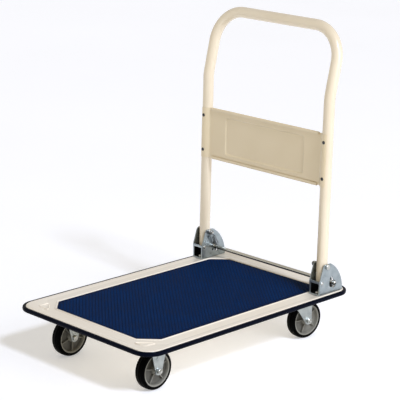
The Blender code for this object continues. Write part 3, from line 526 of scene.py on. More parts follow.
AXLE_HEIGHT = 0.050
TRAIL = 0.030
FORK_TIP = 0.0108
FORK_SHEET = 0.0025
FORK_INSIDE = 0.0165
FORK_OUTSIDE = FORK_INSIDE + FORK_SHEET
PLATE_SHEET = 0.0025
PLATE_HOLE = 0.0042
PLATE_CORNER = 0.008
HOLE_INSET = 0.010
LEG_HALF = 0.028
AXLE_HOLE = 0.0042
PIN_HOLE = 0.0053
LEG_BOSS = 0.0075            # radius of the boss pressed into a leg
LEG_BOSS_RISE = 0.031        # its height above the axle
SWIVEL_REST = {"left": 0.0, "right": radians(-7)}
SIDES = {"left": -1, "right": 1}


def tangent(point, centre, radius, side):
    """Angle on a circle where a line from the point touches it."""
    away = Vector(point) - Vector(centre)
    return atan2(away.y, away.x) + side * acos(radius / away.length)


def leg_outline(front, rear, top, axle_y, rear_slant):
    """Side view of a fork leg in YZ, from the crown down to a round tip."""
    centre = (axle_y, AXLE_HEIGHT)
    start = tangent((front, top), centre, FORK_TIP, 1)
    end = tau + (tangent((rear, top), centre, FORK_TIP, -1) if rear_slant else 0)
    return [(rear, top), (front, top)] + arc(FORK_TIP, start, end, 16, centre)


def holes_of(half_x, half_y, middle=(0, 0)):
    """Places of the four bolt holes of a mounting plate."""
    return [(middle[0] + sx * (half_x - HOLE_INSET), middle[1] + sy * (half_y - HOLE_INSET))
            for sx in (-1, 1) for sy in (-1, 1)]


def upright_line(low, high):
    """The foot of the vertical line through the middle of a box."""
    return Vector(((low.x + high.x) / 2, (low.y + high.y) / 2, 0))


def rounded_plate(half_x, half_y, low, high):
    """Mounting plate with rounded corners and four bolt holes, centred on the origin."""
    loop = []
    for quarter, (sx, sy) in enumerate(((1, 1), (-1, 1), (-1, -1), (1, -1))):
        centre = (sx * (half_x - PLATE_CORNER), sy * (half_y - PLATE_CORNER))
        loop += arc(PLATE_CORNER, quarter * pi / 2, (quarter + 1) * pi / 2, 6, centre)
    plate = shaped("plate", prism(loop, low, high, "Z"), None)
    drills = [moved(rod(low - 0.01, high + 0.01, PLATE_HOLE, 24, "Z"), (x, y, 0))
              for x, y in holes_of(half_x, half_y)]
    return punched(plate, together(drills))


def taken(obj):
    """The bmesh of a piece, whose object goes."""
    shape = bmesh.new()
    shape.from_mesh(obj.data)
    bpy.data.objects.remove(obj)
    return shape


def rounded_off(shape, edges, radius, segments=4):
    """Round some edges of a shape."""
    bmesh.ops.bevel(shape, geom=edges, offset=radius, segments=segments, affect="EDGES", profile=0.5)


def folded_fork(name, outline, top, below):
    """Two legs and a crown from one blank; the folds along the crown are rounded outside."""
    shape = prism(outline, -FORK_OUTSIDE, FORK_OUTSIDE)
    folds = []
    for edge in shape.edges:
        ends = [vert.co for vert in edge.verts]
        if all(abs(end.z - top) < 1e-5 and abs(abs(end.x) - FORK_OUTSIDE) < 1e-5 for end in ends):
            folds.append(edge)
    rounded_off(shape, folds, 0.0026)
    fork = shaped(name, shape, zinc_sheet)
    punched(fork, block((-FORK_INSIDE, FORK_INSIDE), (-0.1, 0.1), (0.0, below)))
    return fork


for side, sign in SIDES.items():
    low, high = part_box(f"fixed_fork_{side}")
    place = upright_line(low, high)
    crown = high.z - PLATE_SHEET * 0.4
    outline = leg_outline(-LEG_HALF, LEG_HALF, crown, 0.0, True)
    fork = folded_fork(f"rigid_fork_{side}", outline, crown, high.z - PLATE_SHEET)
    plate = rounded_plate((high.x - low.x) / 2, (high.y - low.y) / 2, high.z - PLATE_SHEET, high.z)
    punched(fork, taken(plate), "UNION")
    # A round boss pressed into each leg stiffens it above the axle.
    pressed_out = FORK_OUTSIDE + 0.0008
    bosses = [rod(FORK_INSIDE, pressed_out, LEG_BOSS), rod(-pressed_out, -FORK_INSIDE, LEG_BOSS)]
    punched(fork, moved(together(bosses), (0, 0, AXLE_HEIGHT + LEG_BOSS_RISE)), "UNION")
    punched(fork, moved(rod(-0.04, 0.04, AXLE_HOLE), (0, 0, AXLE_HEIGHT)))
    fork.data.transform(Matrix.Translation(place))
    softened(cleaned(fork), 0.0004)
    fitted(fork, "chassis", "zinc", f"fixed_fork_{side}")

    low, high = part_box(f"swivel_plate_{side}")
    race_low, race_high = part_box(f"swivel_race_{side}")
    place = upright_line(low, high)
    crown = race_low.z - 0.0003
    plate = rounded_plate((high.x - low.x) / 2, (high.y - low.y) / 2, low.z, high.z)
    plate.name = f"mounting_plate_{side}"
    plate.data.materials.append(zinc_sheet)
    punched(plate, rod(low.z - 0.01, high.z + 0.01, PIN_HOLE, 32, "Z"))
    plate.data.transform(Matrix.Translation(place))
    fitted(softened(cleaned(plate), 0.0004), "chassis", "zinc", f"swivel_plate_{side}")

    radius = (race_high.x - race_low.x) / 2
    tall = race_high.z - race_low.z
    race = [(race_low.z, 0.0055), (race_low.z, radius * 0.86)]
    for angle in spread(-pi / 2, pi / 2, 8):
        race.append((race_low.z + tall * (0.36 + 0.34 * sin(angle)), radius * (0.9 + 0.1 * cos(angle))))
    race += [(race_low.z + tall * 0.72, radius * 0.86), (race_low.z + tall * 0.78, radius * 0.93),
             (race_high.z, radius * 0.93), (race_high.z, 0.0055)]
    ring = shaped(f"ball_race_{side}", moved(turned(race, 56, "Z"), place), zinc_sheet)
    fitted(ring, "chassis", "zinc", f"swivel_race_{side}")

    outline = leg_outline(-0.025, TRAIL + FORK_TIP, crown, TRAIL, False)
    fork = folded_fork(f"raked_fork_{side}", outline, crown, crown - FORK_SHEET)
    punched(fork, rod(crown - FORK_SHEET, crown, radius, 56, "Z"), "UNION")
    punched(fork, rod(crown - 0.02, crown + 0.02, PIN_HOLE, 32, "Z"))
    punched(fork, moved(rod(-0.04, 0.04, AXLE_HOLE), (0, TRAIL, AXLE_HEIGHT)))
    fork.data.transform(Matrix.Translation(place) @ Matrix.Rotation(SWIVEL_REST[side], 4, "Z"))
    fitted(softened(cleaned(fork), 0.0004), f"swivel_{side}", "zinc", f"swivel_fork_{side}")

# ---- Wheels ----
# Grey nylon centre moulded with a deep rim, a thin web and five ribs; black rubber tyre moulded
# on, with rounded shoulders, a parting line on the tread and a fine groove round each wall.
WHEEL_RADIUS = 0.050
TYRE_HALF = 0.014
RIM = 0.041
RIM_WALL = 0.0034
WEB_HALF = 0.0025
BOSS = 0.0115
BORE = 0.0062
RIB_HALF = 0.0010
RIBS = 5
WHEEL_TRACK = 0.151          # from the middle of the cart to the middle of a wheel
grey_nylon = soft_plastic("grey moulded nylon", "77756B", "89877D", 0.42, 0.3, 0.9, 0.18)
black_rubber = soft_plastic("black moulded rubber", "020202", "040404", 0.36, 0.015, 1.4, 0.3)


def from_plane(made, x, plane):
    """How far a place is from the plane at that distance on its side of the cart."""
    tree = made.node_tree
    x = add(tree, "Math", {0: x}, operation="ABSOLUTE").outputs["Value"]
    x = add(tree, "Math", {0: x, 1: plane}, operation="SUBTRACT").outputs["Value"]
    return add(tree, "Math", {0: x}, operation="ABSOLUTE").outputs["Value"]


# Painted shade: the wheel centre darkens the deeper it lies, so the web is darker than rim and ribs.
pocket = from_plane(grey_nylon, object_axes(grey_nylon)["X"], WHEEL_TRACK)
paint_shade(grey_nylon, pocket, "26241F", (0.003, 0.011), 0.62)


def hub_shape(name, first_rib):
    """Wheel centre about X; each face has the rim's land, the web, the boss and the ribs."""
    half = TYRE_HALF - 0.0012
    inner = RIM - RIM_WALL
    boss = FORK_INSIDE - 0.001
    face = [(half, RIM), (half, inner + 0.0006), (half - 0.0006, inner), (WEB_HALF + 0.002, inner - 0.0012),
            (WEB_HALF + 0.0006, inner - 0.0018), (WEB_HALF, inner - 0.0034), (WEB_HALF, BOSS + 0.0038),
            (WEB_HALF + 0.0006, BOSS + 0.0018), (WEB_HALF + 0.002, BOSS + 0.001), (boss - 0.0006, BOSS),
            (boss, BOSS - 0.0006), (boss, BORE)]
    hub = shaped(name, turned(both_ways(face), 72), grey_nylon)
    ribs = []
    for rib in range(RIBS):
        loops = []
        for y, tall in ((BOSS - 0.002, half - 0.0032), (inner + 0.001, half - 0.0042)):
            corners = ((-tall, -RIB_HALF), (tall, -RIB_HALF), (tall, RIB_HALF), (-tall, RIB_HALF))
            loops.append([Vector((x, y, z)) for x, z in corners])
        shape = skin(loops)
        spoke_turn = Matrix.Rotation(first_rib + tau * rib / RIBS, 4, "X")
        bmesh.ops.transform(shape, matrix=spoke_turn, verts=shape.verts)
        ribs.append(shape)
    punched(hub, together(ribs), "UNION")
    return cleaned(hub, 28)


def tyre_shape():
    """Tyre about X with a rounded tread, shoulders, wall grooves and a parting line."""
    seat = RIM + 0.0002
    tread = [(0.0, 0.0), (0.0003, 0.0), (0.0005, 0.0002), (0.006, 0.0002), (0.0095, 0.0007), (0.0118, 0.0018),
             (0.0132, 0.0036), (0.0139, 0.0056)]
    wall = [(0.0139, 0.0030), (0.0134, 0.0026), (0.0134, 0.0020), (0.0139, 0.0015), (0.0136, 0.0)]
    half = [(out, WHEEL_RADIUS - worn) for out, worn in tread] + [(out, seat + rise) for out, rise in wall]
    return turned(both_ways(half), 96)


RIB_TURN = {"front_right": radians(-121), "front_left": radians(-160),
            "rear_right": radians(-109), "rear_left": radians(-70)}
for end in ("front", "rear"):
    for side in SIDES:
        label = f"{end}_{side}"
        low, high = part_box(f"hub_{label}")
        turn = SWIVEL_REST[side] if end == "rear" else 0.0
        spot = Matrix.Translation((low + high) / 2) @ Matrix.Rotation(turn, 4, "Z")
        body = f"wheel_{label}"
        hub = hub_shape(f"wheel_centre_{label}", RIB_TURN[label])
        hub.data.transform(spot)
        fitted(hub, body, "wheel_plastic", f"hub_{label}")
        tyre = shaped(f"moulded_tyre_{label}", tyre_shape(), black_rubber, smooth=50)
        tyre.data.transform(spot)
        fitted(tyre, body, "tyre_rubber", f"tyre_{label}")

# ---- Bolts and nuts ----
# Cold headed hexagon bolts, chamfered on top, with rolled threads where they come out of a nut.
# Zinc plated like the forks but brighter, because headed steel is smoother than sheet.


def thread(low, high, radius):
    """Stations of a rolled thread, drawn as rings at the real pitch."""
    pitch = 0.00125
    places = []
    for turn in range(int((high - low) / pitch)):
        at = low + turn * pitch
        places += [(at, radius - 0.0007), (at + pitch * 0.4, radius), (at + pitch * 0.6, radius)]
    return places


def bolt(name, length, threaded, radius=0.0040, flats=0.0065, head=0.0048):
    """Bolt along +X from under its head, thread over the last stretch."""
    profile = [(-head, 0), (-head, flats * 0.55), (-head, flats * 0.88), (-head + 0.0008, flats), (0, flats),
               (0, radius)]
    profile += thread(length - threaded, length - 0.0008, radius)
    profile += [(length - 0.0006, radius - 0.0004), (length, radius - 0.0009), (length, 0)]
    return shaped(name, turned(profile, 36, hexagon=(3, 4)), bright_steel, smooth=25)


NUT = 0.0062                 # height of a nut


def nut(name):
    """Plain nut along +X, chamfered on its free face."""
    bore, flats = 0.0041, 0.0065
    profile = [(0, bore), (0, flats), (NUT - 0.0008, flats), (NUT, flats * 0.88), (NUT, bore + 0.0006),
               (NUT - 0.0006, bore)]
    return shaped(name, turned(profile, 36, hexagon=(1, 2)), bright_steel, smooth=25)


def pointed(obj, place, heading):
    """Stand a fastener made along +X at a place, along the heading in the ground plane."""
    obj.data.transform(Matrix.Translation(place) @ Matrix.Rotation(heading, 4, "Z"))
    return obj


for end in ("front", "rear"):
    for side, sign in SIDES.items():
        label = f"{end}_{side}"
        low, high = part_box(f"axle_sleeve_{label}")
        middle = (low + high) / 2
        turn = SWIVEL_REST[side] if end == "rear" else 0.0
        along = Vector((cos(turn), sin(turn), 0))
        face = FORK_OUTSIDE + 0.0003
        heading = turn + (0 if sign > 0 else pi)
        body = f"swivel_{side}" if end == "rear" else "chassis"
        axle = bolt(f"axle_{label}", 2 * face + NUT + 0.002, 0.010)
        fitted(pointed(axle, middle - along * sign * face, heading), body, "steel", f"axle_bolt_{label}")
        holder = pointed(nut(f"axle_lock_nut_{label}"), middle + along * sign * face, heading)
        fitted(holder, body, "steel", f"axle_nut_{label}")
        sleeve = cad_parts[f"axle_sleeve_{label}"].data.materials
        sleeve.clear()
        sleeve.append(bright_steel)

for side in SIDES:
    pin_low, pin_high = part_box(f"kingpin_{side}")
    place = upright_line(pin_low, pin_high)
    head = (pin_high.x - pin_low.x) / 2
    profile = [(pin_low.z, 0), (pin_low.z, head * 0.6), (pin_low.z + 0.0006, head * 0.88),
               (pin_low.z + 0.0018, head), (pin_low.z + 0.003, head), (pin_low.z + 0.003, 0.005),
               (pin_high.z - 0.0006, 0.005), (pin_high.z, 0.0044), (pin_high.z, 0)]
    pin = shaped(f"king_rivet_{side}", moved(turned(profile, 40, "Z"), place), bright_steel)
    fitted(pin, "chassis", "steel", f"kingpin_{side}")
    # Four bolts hold each caster plate to its cross member, heads down.
    for end, node in (("front", f"fixed_fork_{side}"), ("rear", f"swivel_plate_{side}")):
        low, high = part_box(node)
        holes = holes_of((high.x - low.x) / 2, (high.y - low.y) / 2, upright_line(low, high))
        for count, (x, y) in enumerate(holes, 1):
            fixing = bolt(f"plate_bolt_{end}_{side}_{count}", 0.0085, 0.004, 0.0035, 0.0055, 0.0038)
            spot = Matrix.Translation((x, y, high.z - PLATE_SHEET - 0.0001))
            fixing.data.transform(spot @ Matrix.Rotation(-pi / 2, 4, "Y"))
            fitted(fixing, "chassis", "steel")

# ---- Hinge brackets ----
# Each is one stamping of 2.5 mm steel folded to a U round the handle's foot: two side plates, a
# base riveted to the deck and a short front web with a window. Zinc plated like the forks.
BRACKET_SHEET = 0.0025
WEB_HEIGHT = 0.037
TOP_FRONT = 0.013
TOP_REAR = 0.040
BRACKET_FOLD = 0.0024
TUBE_SPREAD = 0.210          # from the middle of the cart to the middle of a leg
PIVOT_TO_BAR = 0.053
SHADE_HALF = 0.0158         # half the width between the side plates, less a hair
SHADE_LOW = 0.166           # heavy painted shade below this height, light above the next
SHADE_HIGH = 0.173
# Painted light: the deck rivets get a much lighter zinc than the other plating, so they read as lit inside
# the shaded brackets.
lit_rivet_zinc = plated("zinc on headed rivets, lightened as painted light", "DDDBD2", "F2F0E8", 0.3)
bar_low, bar_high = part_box("release_bar")
bar_centre = (bar_low + bar_high) / 2
BAR_RADIUS = 0.0050
BAR_ANGLE = radians(28.5)
bar_line = Vector((0, sin(BAR_ANGLE), -cos(BAR_ANGLE)))
pivot = bar_centre - bar_line * PIVOT_TO_BAR


def dome(base, tall, radius, inner=0.0):
    """Stations of a round head, from just above its base to just below its crown."""
    return [(base + tall * sin(angle), inner + radius * cos(angle)) for angle in spread(0, pi / 2, 8)[1:-1]]


def side_outline(front, base, length, height):
    """Side plate in YZ: straight front, sloping shoulder, and a quarter sweep at the rear."""
    points = [(front, base), (front + length, base)]
    first = asin(0.006 / length)
    last = acos(TOP_REAR / length)
    for angle in spread(first, last, 24):
        points.append((front + length * cos(angle), base + min(length * sin(angle), height)))
    crest = (front + TOP_FRONT, base + height - 0.001)
    return points + [(front + TOP_FRONT + 0.006, base + height), (crest[0] + 0.0018, crest[1] + 0.0004),
                     (crest[0] - 0.0008, crest[1] - 0.0030), (front + 0.0006, base + WEB_HEIGHT + 0.0030),
                     (front, base + WEB_HEIGHT - 0.001)]


def slot_shape(low, high):
    """Round-ended slot along the bar's travel."""
    radius = BAR_RADIUS + 0.0008
    base = atan2(bar_line.z, bar_line.y)
    loop = []
    for reach, start in ((0.063, base - pi / 2), (0.040, base + pi / 2)):
        centre = pivot + bar_line * reach
        loop += arc(radius, start, start + pi, 16, centre.yz)
    return prism(loop, low, high)


# Painted shade: inside the U, behind the front web and round the handle's foot, the zinc is darkened, nearly
# black low down and lightly higher up.
bracket_zinc = plated("blue passivated zinc, painted shade inside the fold", "929DA1", "ADB6B9", 0.31)
tree = bracket_zinc.node_tree
sides = object_axes(bracket_zinc)
width = from_plane(bracket_zinc, sides["X"], TUBE_SPREAD)
inside = add(tree, "Math", {0: width, 1: SHADE_HALF}, operation="LESS_THAN").outputs["Value"]
behind_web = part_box("bracket_left")[0].y + BRACKET_SHEET - 0.0002
behind = add(tree, "Math", {0: sides["Y"], 1: behind_web}, operation="GREATER_THAN").outputs["Value"]
inside = add(tree, "Math", {0: inside, 1: behind}, operation="MULTIPLY").outputs["Value"]
paint_shade(bracket_zinc, sides["Z"], "14120E", (SHADE_LOW, SHADE_HIGH), 0.93, 0.25, inside)

for side, sign in SIDES.items():
    low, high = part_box(f"bracket_{side}")
    front, base = low.y, low.z
    length, height = high.y - low.y, high.z - low.z
    middle = (low.x + high.x) / 2
    inner = (high.x - low.x) / 2 - BRACKET_SHEET
    shape = prism(side_outline(front, base, length, height), low.x, high.x)
    folds = []
    for edge in shape.edges:
        a, b = (vert.co for vert in edge.verts)
        outside = abs(a.x - b.x) < 1e-5
        under = abs(a.z - base) < 1e-5 and abs(b.z - base) < 1e-5
        ahead = abs(a.y - front) < 1e-5 and abs(b.y - front) < 1e-5
        if outside and (under or ahead):
            folds.append(edge)
    rounded_off(shape, folds, BRACKET_FOLD)
    bracket = shaped(f"hinge_bracket_{side}", shape, bracket_zinc)
    floor = base + BRACKET_SHEET
    across = (middle - inner, middle + inner)
    beyond = front + length + 0.01
    punched(bracket, block(across, (front + BRACKET_SHEET, beyond), (floor, floor + height)))
    punched(bracket, block(across, (front - 0.01, beyond), (base + WEB_HEIGHT, floor + height)))
    window = block((middle - inner + 0.0022, middle + inner - 0.0022), (front - 0.01, front + 0.004),
                   (base + 0.0036, base + 0.0315))
    corners = [edge for edge in window.edges if abs(edge.verts[0].co.y - edge.verts[1].co.y) > 0.001]
    rounded_off(window, corners, 0.002, 3)
    punched(bracket, window)
    reach = (low.x - 0.01, high.x + 0.01)
    stop_low, stop_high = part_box(f"stop_pin_{side}")
    stop = (stop_low + stop_high) / 2
    holes = [moved(rod(*reach, 0.0042), (0, pivot.y, pivot.z)), slot_shape(*reach),
             moved(rod(*reach, 0.0032), (0, stop.y, stop.z))]
    inner_plate = middle - sign * (inner + BRACKET_SHEET)
    spare_hole = rod(inner_plate - 0.005, inner_plate + 0.005, 0.0033)
    holes.append(moved(spare_hole, (0, front + 0.0415, DECK_TOP + 0.0212)))
    punched(bracket, together(holes))
    # The outer plate's slot is opened towards the front, so that the bar can be threaded in.
    outer_plate = middle + sign * (inner + BRACKET_SHEET / 2)
    relief = turned([(-0.004, 0), (-0.004, 0.0086), (0.004, 0.0086), (0.004, 0)], 40)
    bmesh.ops.scale(relief, vec=(1, 1, 1.25), verts=relief.verts)
    punched(bracket, moved(relief, (outer_plate, bar_centre.y - 0.0056, bar_centre.z - 0.0005)))
    fitted(softened(cleaned(bracket), 0.00035), "chassis", "zinc", f"bracket_{side}")

    profile = [(-0.0016, 0), (-0.0016, 0.0022), (-0.0012, 0.0036), (-0.0004, 0.0046), (0, 0.0048), (0, 0.003)]
    span = stop_high.x - stop_low.x - 0.0036
    profile += [(span, 0.003)] + [(span - along, radius) for along, radius in reversed(profile[1:5])]
    profile += [(span + 0.0016, 0)]
    shape = moved(turned(profile, 32), (stop.x - span / 2, stop.y, stop.z))
    fitted(shaped(f"stop_{side}", shape, bright_steel), "chassis", "steel", f"stop_pin_{side}")

    for where in ("front", "rear"):
        node = f"bracket_rivet_{where}_{side}"
        low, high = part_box(node)
        top = floor + 0.0003
        profile = [(low.z, 0), (low.z, 0.003), (low.z + 0.0006, 0.0046), (low.z + 0.0020, 0.0050)]
        profile += [(low.z + 0.0022, 0.003), (top, 0.003), (top, 0.0060), (top + 0.0014, 0.0060)]
        profile += dome(top + 0.0014, 0.0042, 0.0060) + [(top + 0.0056, 0)]
        shape = moved(turned(profile, 32, "Z"), upright_line(low, high))
        fitted(shaped(f"deck_rivet_{where}_{side}", shape, lit_rivet_zinc), "chassis", "steel", node)

# ---- Handle ----
# One length of 28.6 mm steel tube: two upright legs that lean back above the panel, and a grip
# bar between two wide bends. The feet are sawn square and left open. Powder coated cream.
TUBE = 0.0143
TUBE_WALL = 0.0015
LEAN = radians(12.6)
LEAN_RISE = 0.500
LEAN_RADIUS = 0.090
GRIP_RISE = 0.680
GRIP_BEND = 0.085
FOOT = 0.044
TUBE_SIDES = 40


def swept(path, radius, sides, first):
    """Circles carried along a path without twisting."""
    rings = []
    normal = Vector(first)
    angles = [tau * i / sides for i in range(sides)]
    for index, point in enumerate(path):
        ahead = (path[min(index + 1, len(path) - 1)] - path[max(index - 1, 0)]).normalized()
        normal = (normal - ahead * normal.dot(ahead)).normalized()
        other = ahead.cross(normal)
        rings.append([point + radius * (normal * cos(angle) + other * sin(angle)) for angle in angles])
    return rings


lean_line = Vector((0, sin(LEAN), cos(LEAN)))
half_path = [Vector((TUBE_SPREAD, pivot.y, pivot.z - FOOT))]
half_path += [Vector((TUBE_SPREAD, pivot.y, DECK_TOP + rise)) for rise in (0.12, 0.28, 0.42)]
for angle in spread(0, LEAN, 8):
    half_path.append(Vector((TUBE_SPREAD, pivot.y + LEAN_RADIUS * (1 - cos(angle)),
                             DECK_TOP + LEAN_RISE + LEAN_RADIUS * sin(angle))))
straight = (DECK_TOP + GRIP_RISE - half_path[-1].z) / lean_line.z - GRIP_BEND
corner = half_path[-1] + lean_line * straight - Vector((GRIP_BEND, 0, 0))
for angle in spread(0, pi / 2, 24):
    half_path.append(corner + GRIP_BEND * (Vector((cos(angle), 0, 0)) + lean_line * sin(angle)))
# Painted shade: the same cream paint as the deck, darker and yellower on the tube for its shaded sides.
shaded_tube_coat = powder_coat("cream powder coat on the tube, darkened as painted shade", "E0D0B2", "E7D9BD")
handle_line = half_path + [Vector((-point.x, point.y, point.z)) for point in reversed(half_path)]
outer = swept(handle_line, TUBE, TUBE_SIDES, (1, 0, 0))
inner = swept(handle_line, TUBE - TUBE_WALL, TUBE_SIDES, (1, 0, 0))
handle = shaped("bent_handle_tube", skin(outer + inner[::-1], ring_path=True), shaded_tube_coat, smooth=50)
fitted(handle, "handle", "powder_coat", "handle_tube")

# ---- Sign panel ----
# Pressed sheet, 1.2 mm thick, its ends wrapped round the front of the legs. A shallow field is
# pressed back in the middle, and a hem along each long edge is turned forward.
PANEL_SHEET = 0.0012
WRAP_OUT = radians(28)
WRAP_IN = radians(55)
PANEL_BEND = 0.008
PRESS_X = 0.056
PRESS_Z = 0.022
PRESS_DEPTH = 0.0026
PRESS_RAMP = 0.0032
PRESS_CORNER = 0.006
HEM_DEPTH = 0.0046
HEM_HEIGHT = 0.0080
# Painted shade: the same cream paint again, darkest and yellowest on the panel, whose face stands in shade.
shaded_panel_coat = powder_coat("cream powder coat on the panel, darkened as painted shade", "DECCA5", "E5D4B0")
panel_bottom = DECK_TOP + 0.282
panel_top = panel_bottom + 0.140

wrap = TUBE + 0.0003 + PANEL_SHEET / 2
plan = []
for angle in spread(WRAP_OUT, -WRAP_IN, 18):
    plan.append(Vector((TUBE_SPREAD + wrap * sin(angle), pivot.y - wrap * cos(angle))))
last = plan[-1]
for angle in spread(WRAP_IN, 0, 8)[1:]:
    plan.append(Vector((last.x - PANEL_BEND * (sin(WRAP_IN) - sin(angle)),
                        last.y + PANEL_BEND * (cos(angle) - cos(WRAP_IN)))))
flat = plan[-1]
press_x = flat.x - PRESS_X
press_middle = (panel_bottom + panel_top) / 2
press_z = (panel_top - panel_bottom) / 2 - PRESS_Z


def stations(limit, edge, ramp, coarse):
    """Positions from -limit to limit, close together across the ramps at +-edge."""
    places = {0.0}
    count = int(edge / coarse)
    for step in range(1, count):
        places |= {edge * step / count, -edge * step / count}
    for step in range(-2, 9):
        place = edge - ramp * 0.3 + ramp * 1.6 * step / 8
        places |= {place, -place}
    for step in range(1, 5):
        place = edge + ramp * 1.4 + (limit - edge - ramp * 1.4) * step / 4
        places |= {place, -place}
    return sorted(places, reverse=True)


plan += [Vector((x, flat.y)) for x in stations(flat.x - 0.003, press_x, PRESS_RAMP, 0.012)]
plan += [Vector((-point.x, point.y)) for point in reversed(plan[:27])]
hem_start = (panel_top - panel_bottom - HEM_DEPTH) / 2
levels = [press_middle + z for z in reversed(stations(hem_start, press_z, PRESS_RAMP, 0.012))]


def pressed(x, z):
    """Depth of the pressed field at a point, with rounded corners and a smooth ramp."""
    dx = max(abs(x) - (press_x - PRESS_CORNER), 0)
    dz = max(abs(z - press_middle) - (press_z - PRESS_CORNER), 0)
    share = (hypot(dx, dz) - PRESS_CORNER) / PRESS_RAMP
    share = min(max(1 - share, 0), 1)
    return PRESS_DEPTH * share * share * (3 - 2 * share)


shape = bmesh.new()
grid = [[shape.verts.new((p.x, p.y + (pressed(p.x, z) if abs(p.x) < flat.x - 0.001 else 0), z)) for p in plan]
        for z in levels]
for lower, upper in zip(grid, grid[1:]):
    for i in range(len(plan) - 1):
        shape.faces.new((lower[i], lower[i + 1], upper[i + 1], upper[i]))
panel = shaped("pressed_panel", shape, shaded_panel_coat, smooth=60)
thickened(panel, PANEL_SHEET, 0.0)


def rolled_hem(edge, upward):
    """Hem in YZ along the panel: the sheet turned forward and back on itself, left a little open."""
    bend = HEM_DEPTH / 2
    centre = (flat.y + PANEL_SHEET / 2 - bend, edge - upward * bend)
    outside = arc(bend, 0, upward * pi, 12, centre)
    inside = [((centre[0] + y) / 2, (centre[1] + z) / 2) for y, z in reversed(outside)]
    tail = edge - upward * HEM_HEIGHT
    outer_y, inner_y = outside[-1][0], inside[0][0]
    lip = [(outer_y, tail + upward * 0.0004), (outer_y + 0.0003, tail), (inner_y - 0.0002, tail),
           (inner_y, tail + upward * 0.0004)]
    half = flat.x - 0.0045
    return skin([[Vector((x, y, z)) for y, z in outside + lip + inside] for x in (-half, half)])


hems = together([rolled_hem(panel_top, 1), rolled_hem(panel_bottom, -1)])
hem_strips = shaped("panel_hems", hems, shaded_panel_coat, smooth=50)
cleaned(panel, 60)
fitted(panel, "handle", "powder_coat", "sign_panel")
fitted(hem_strips, "handle", "powder_coat")

# ---- Panel rivets ----
# Blind rivets of blackened steel, two in each leg: a low dome with the hole that the mandrel left.
rivet_steel = plated("blackened steel of the blind rivets", "303132", "5A5C5C", 0.3)
for side in SIDES:
    for where in ("top", "bottom"):
        node = f"panel_rivet_{where}_{side}"
        low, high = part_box(node)
        centre = (low + high) / 2
        head = low.y + 0.0018
        profile = [(0.0072, 0.0), (0.0072, 0.0016), (0.0066, 0.0030), (0.0040, 0.0030), (0.0037, 0.0019),
                   (0.0, 0.0019), (0.0, 0.0044)]
        profile += dome(0, -0.0018, 0.0031, 0.0013) + [(-0.0018, 0.0012), (-0.0006, 0.0011), (-0.0006, 0.0)]
        rivet = shaped(f"blind_rivet_{where}_{side}", turned(profile, 32), rivet_steel)
        pointed(rivet, Vector((centre.x, head, centre.z)), pi / 2)
        fitted(rivet, "handle", "steel", node)

# ---- Handle pivots ----
# An M8 bolt through each bracket and leg, head outside. Its long tail inside the nut is the
# upper anchor of the return spring.
for side, sign in SIDES.items():
    low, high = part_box(f"bracket_{side}")
    outer_face = (high.x if sign > 0 else low.x) + sign * 0.0003
    inner_face = (low.x if sign > 0 else high.x) - sign * 0.0003
    bolt_low, bolt_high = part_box(f"pivot_bolt_{side}")
    length = bolt_high.x - bolt_low.x - 0.0048
    heading = pi if sign > 0 else 0.0
    axis = bolt(f"handle_pivot_{side}", length, 0.0165)
    holder = nut(f"handle_pivot_nut_{side}")
    for fastener, x, node in ((axis, outer_face, "bolt"), (holder, inner_face, "nut")):
        pointed(fastener, Vector((x, pivot.y, pivot.z)), heading)
        fitted(fastener, "chassis", "steel", f"pivot_{node}_{side}")

# ---- Release bar, clips and return springs ----
# A 10 mm bright steel bar across both brackets, pressed down by foot. A spring ring holds each
# end, and two extension springs of 1.8 mm wire draw the bar back up towards the pivots.
spring_steel = plated("drawn spring wire", "7F8385", "A2A6A6", 0.3)
drawn_bar = plated("cold drawn bright bar", "CFCFC6", "E6E5DC", 0.24, (0.02, 1, 1))

# Painted shade: the bar's underside is darkened nearly to black, for its shade and the dark reflection below
# it.
underside_shade_line = (bar_centre.z - 0.001, bar_centre.z + 0.002)
paint_shade(drawn_bar, object_axes(drawn_bar)["Z"], "181612", underside_shade_line, 0.95)
WIRE = 0.0009
COIL = 0.0046
TURNS = 10

half = [(bar_high.x - 0.0008, BAR_RADIUS), (bar_high.x, BAR_RADIUS - 0.0008), (bar_high.x, 0)]
profile = [(-along, radius) for along, radius in reversed(half)] + half
bar = shaped("foot_release_bar", moved(turned(profile, 40), (0, bar_centre.y, bar_centre.z)), drawn_bar)
fitted(bar, "release_bar", "steel", "release_bar")

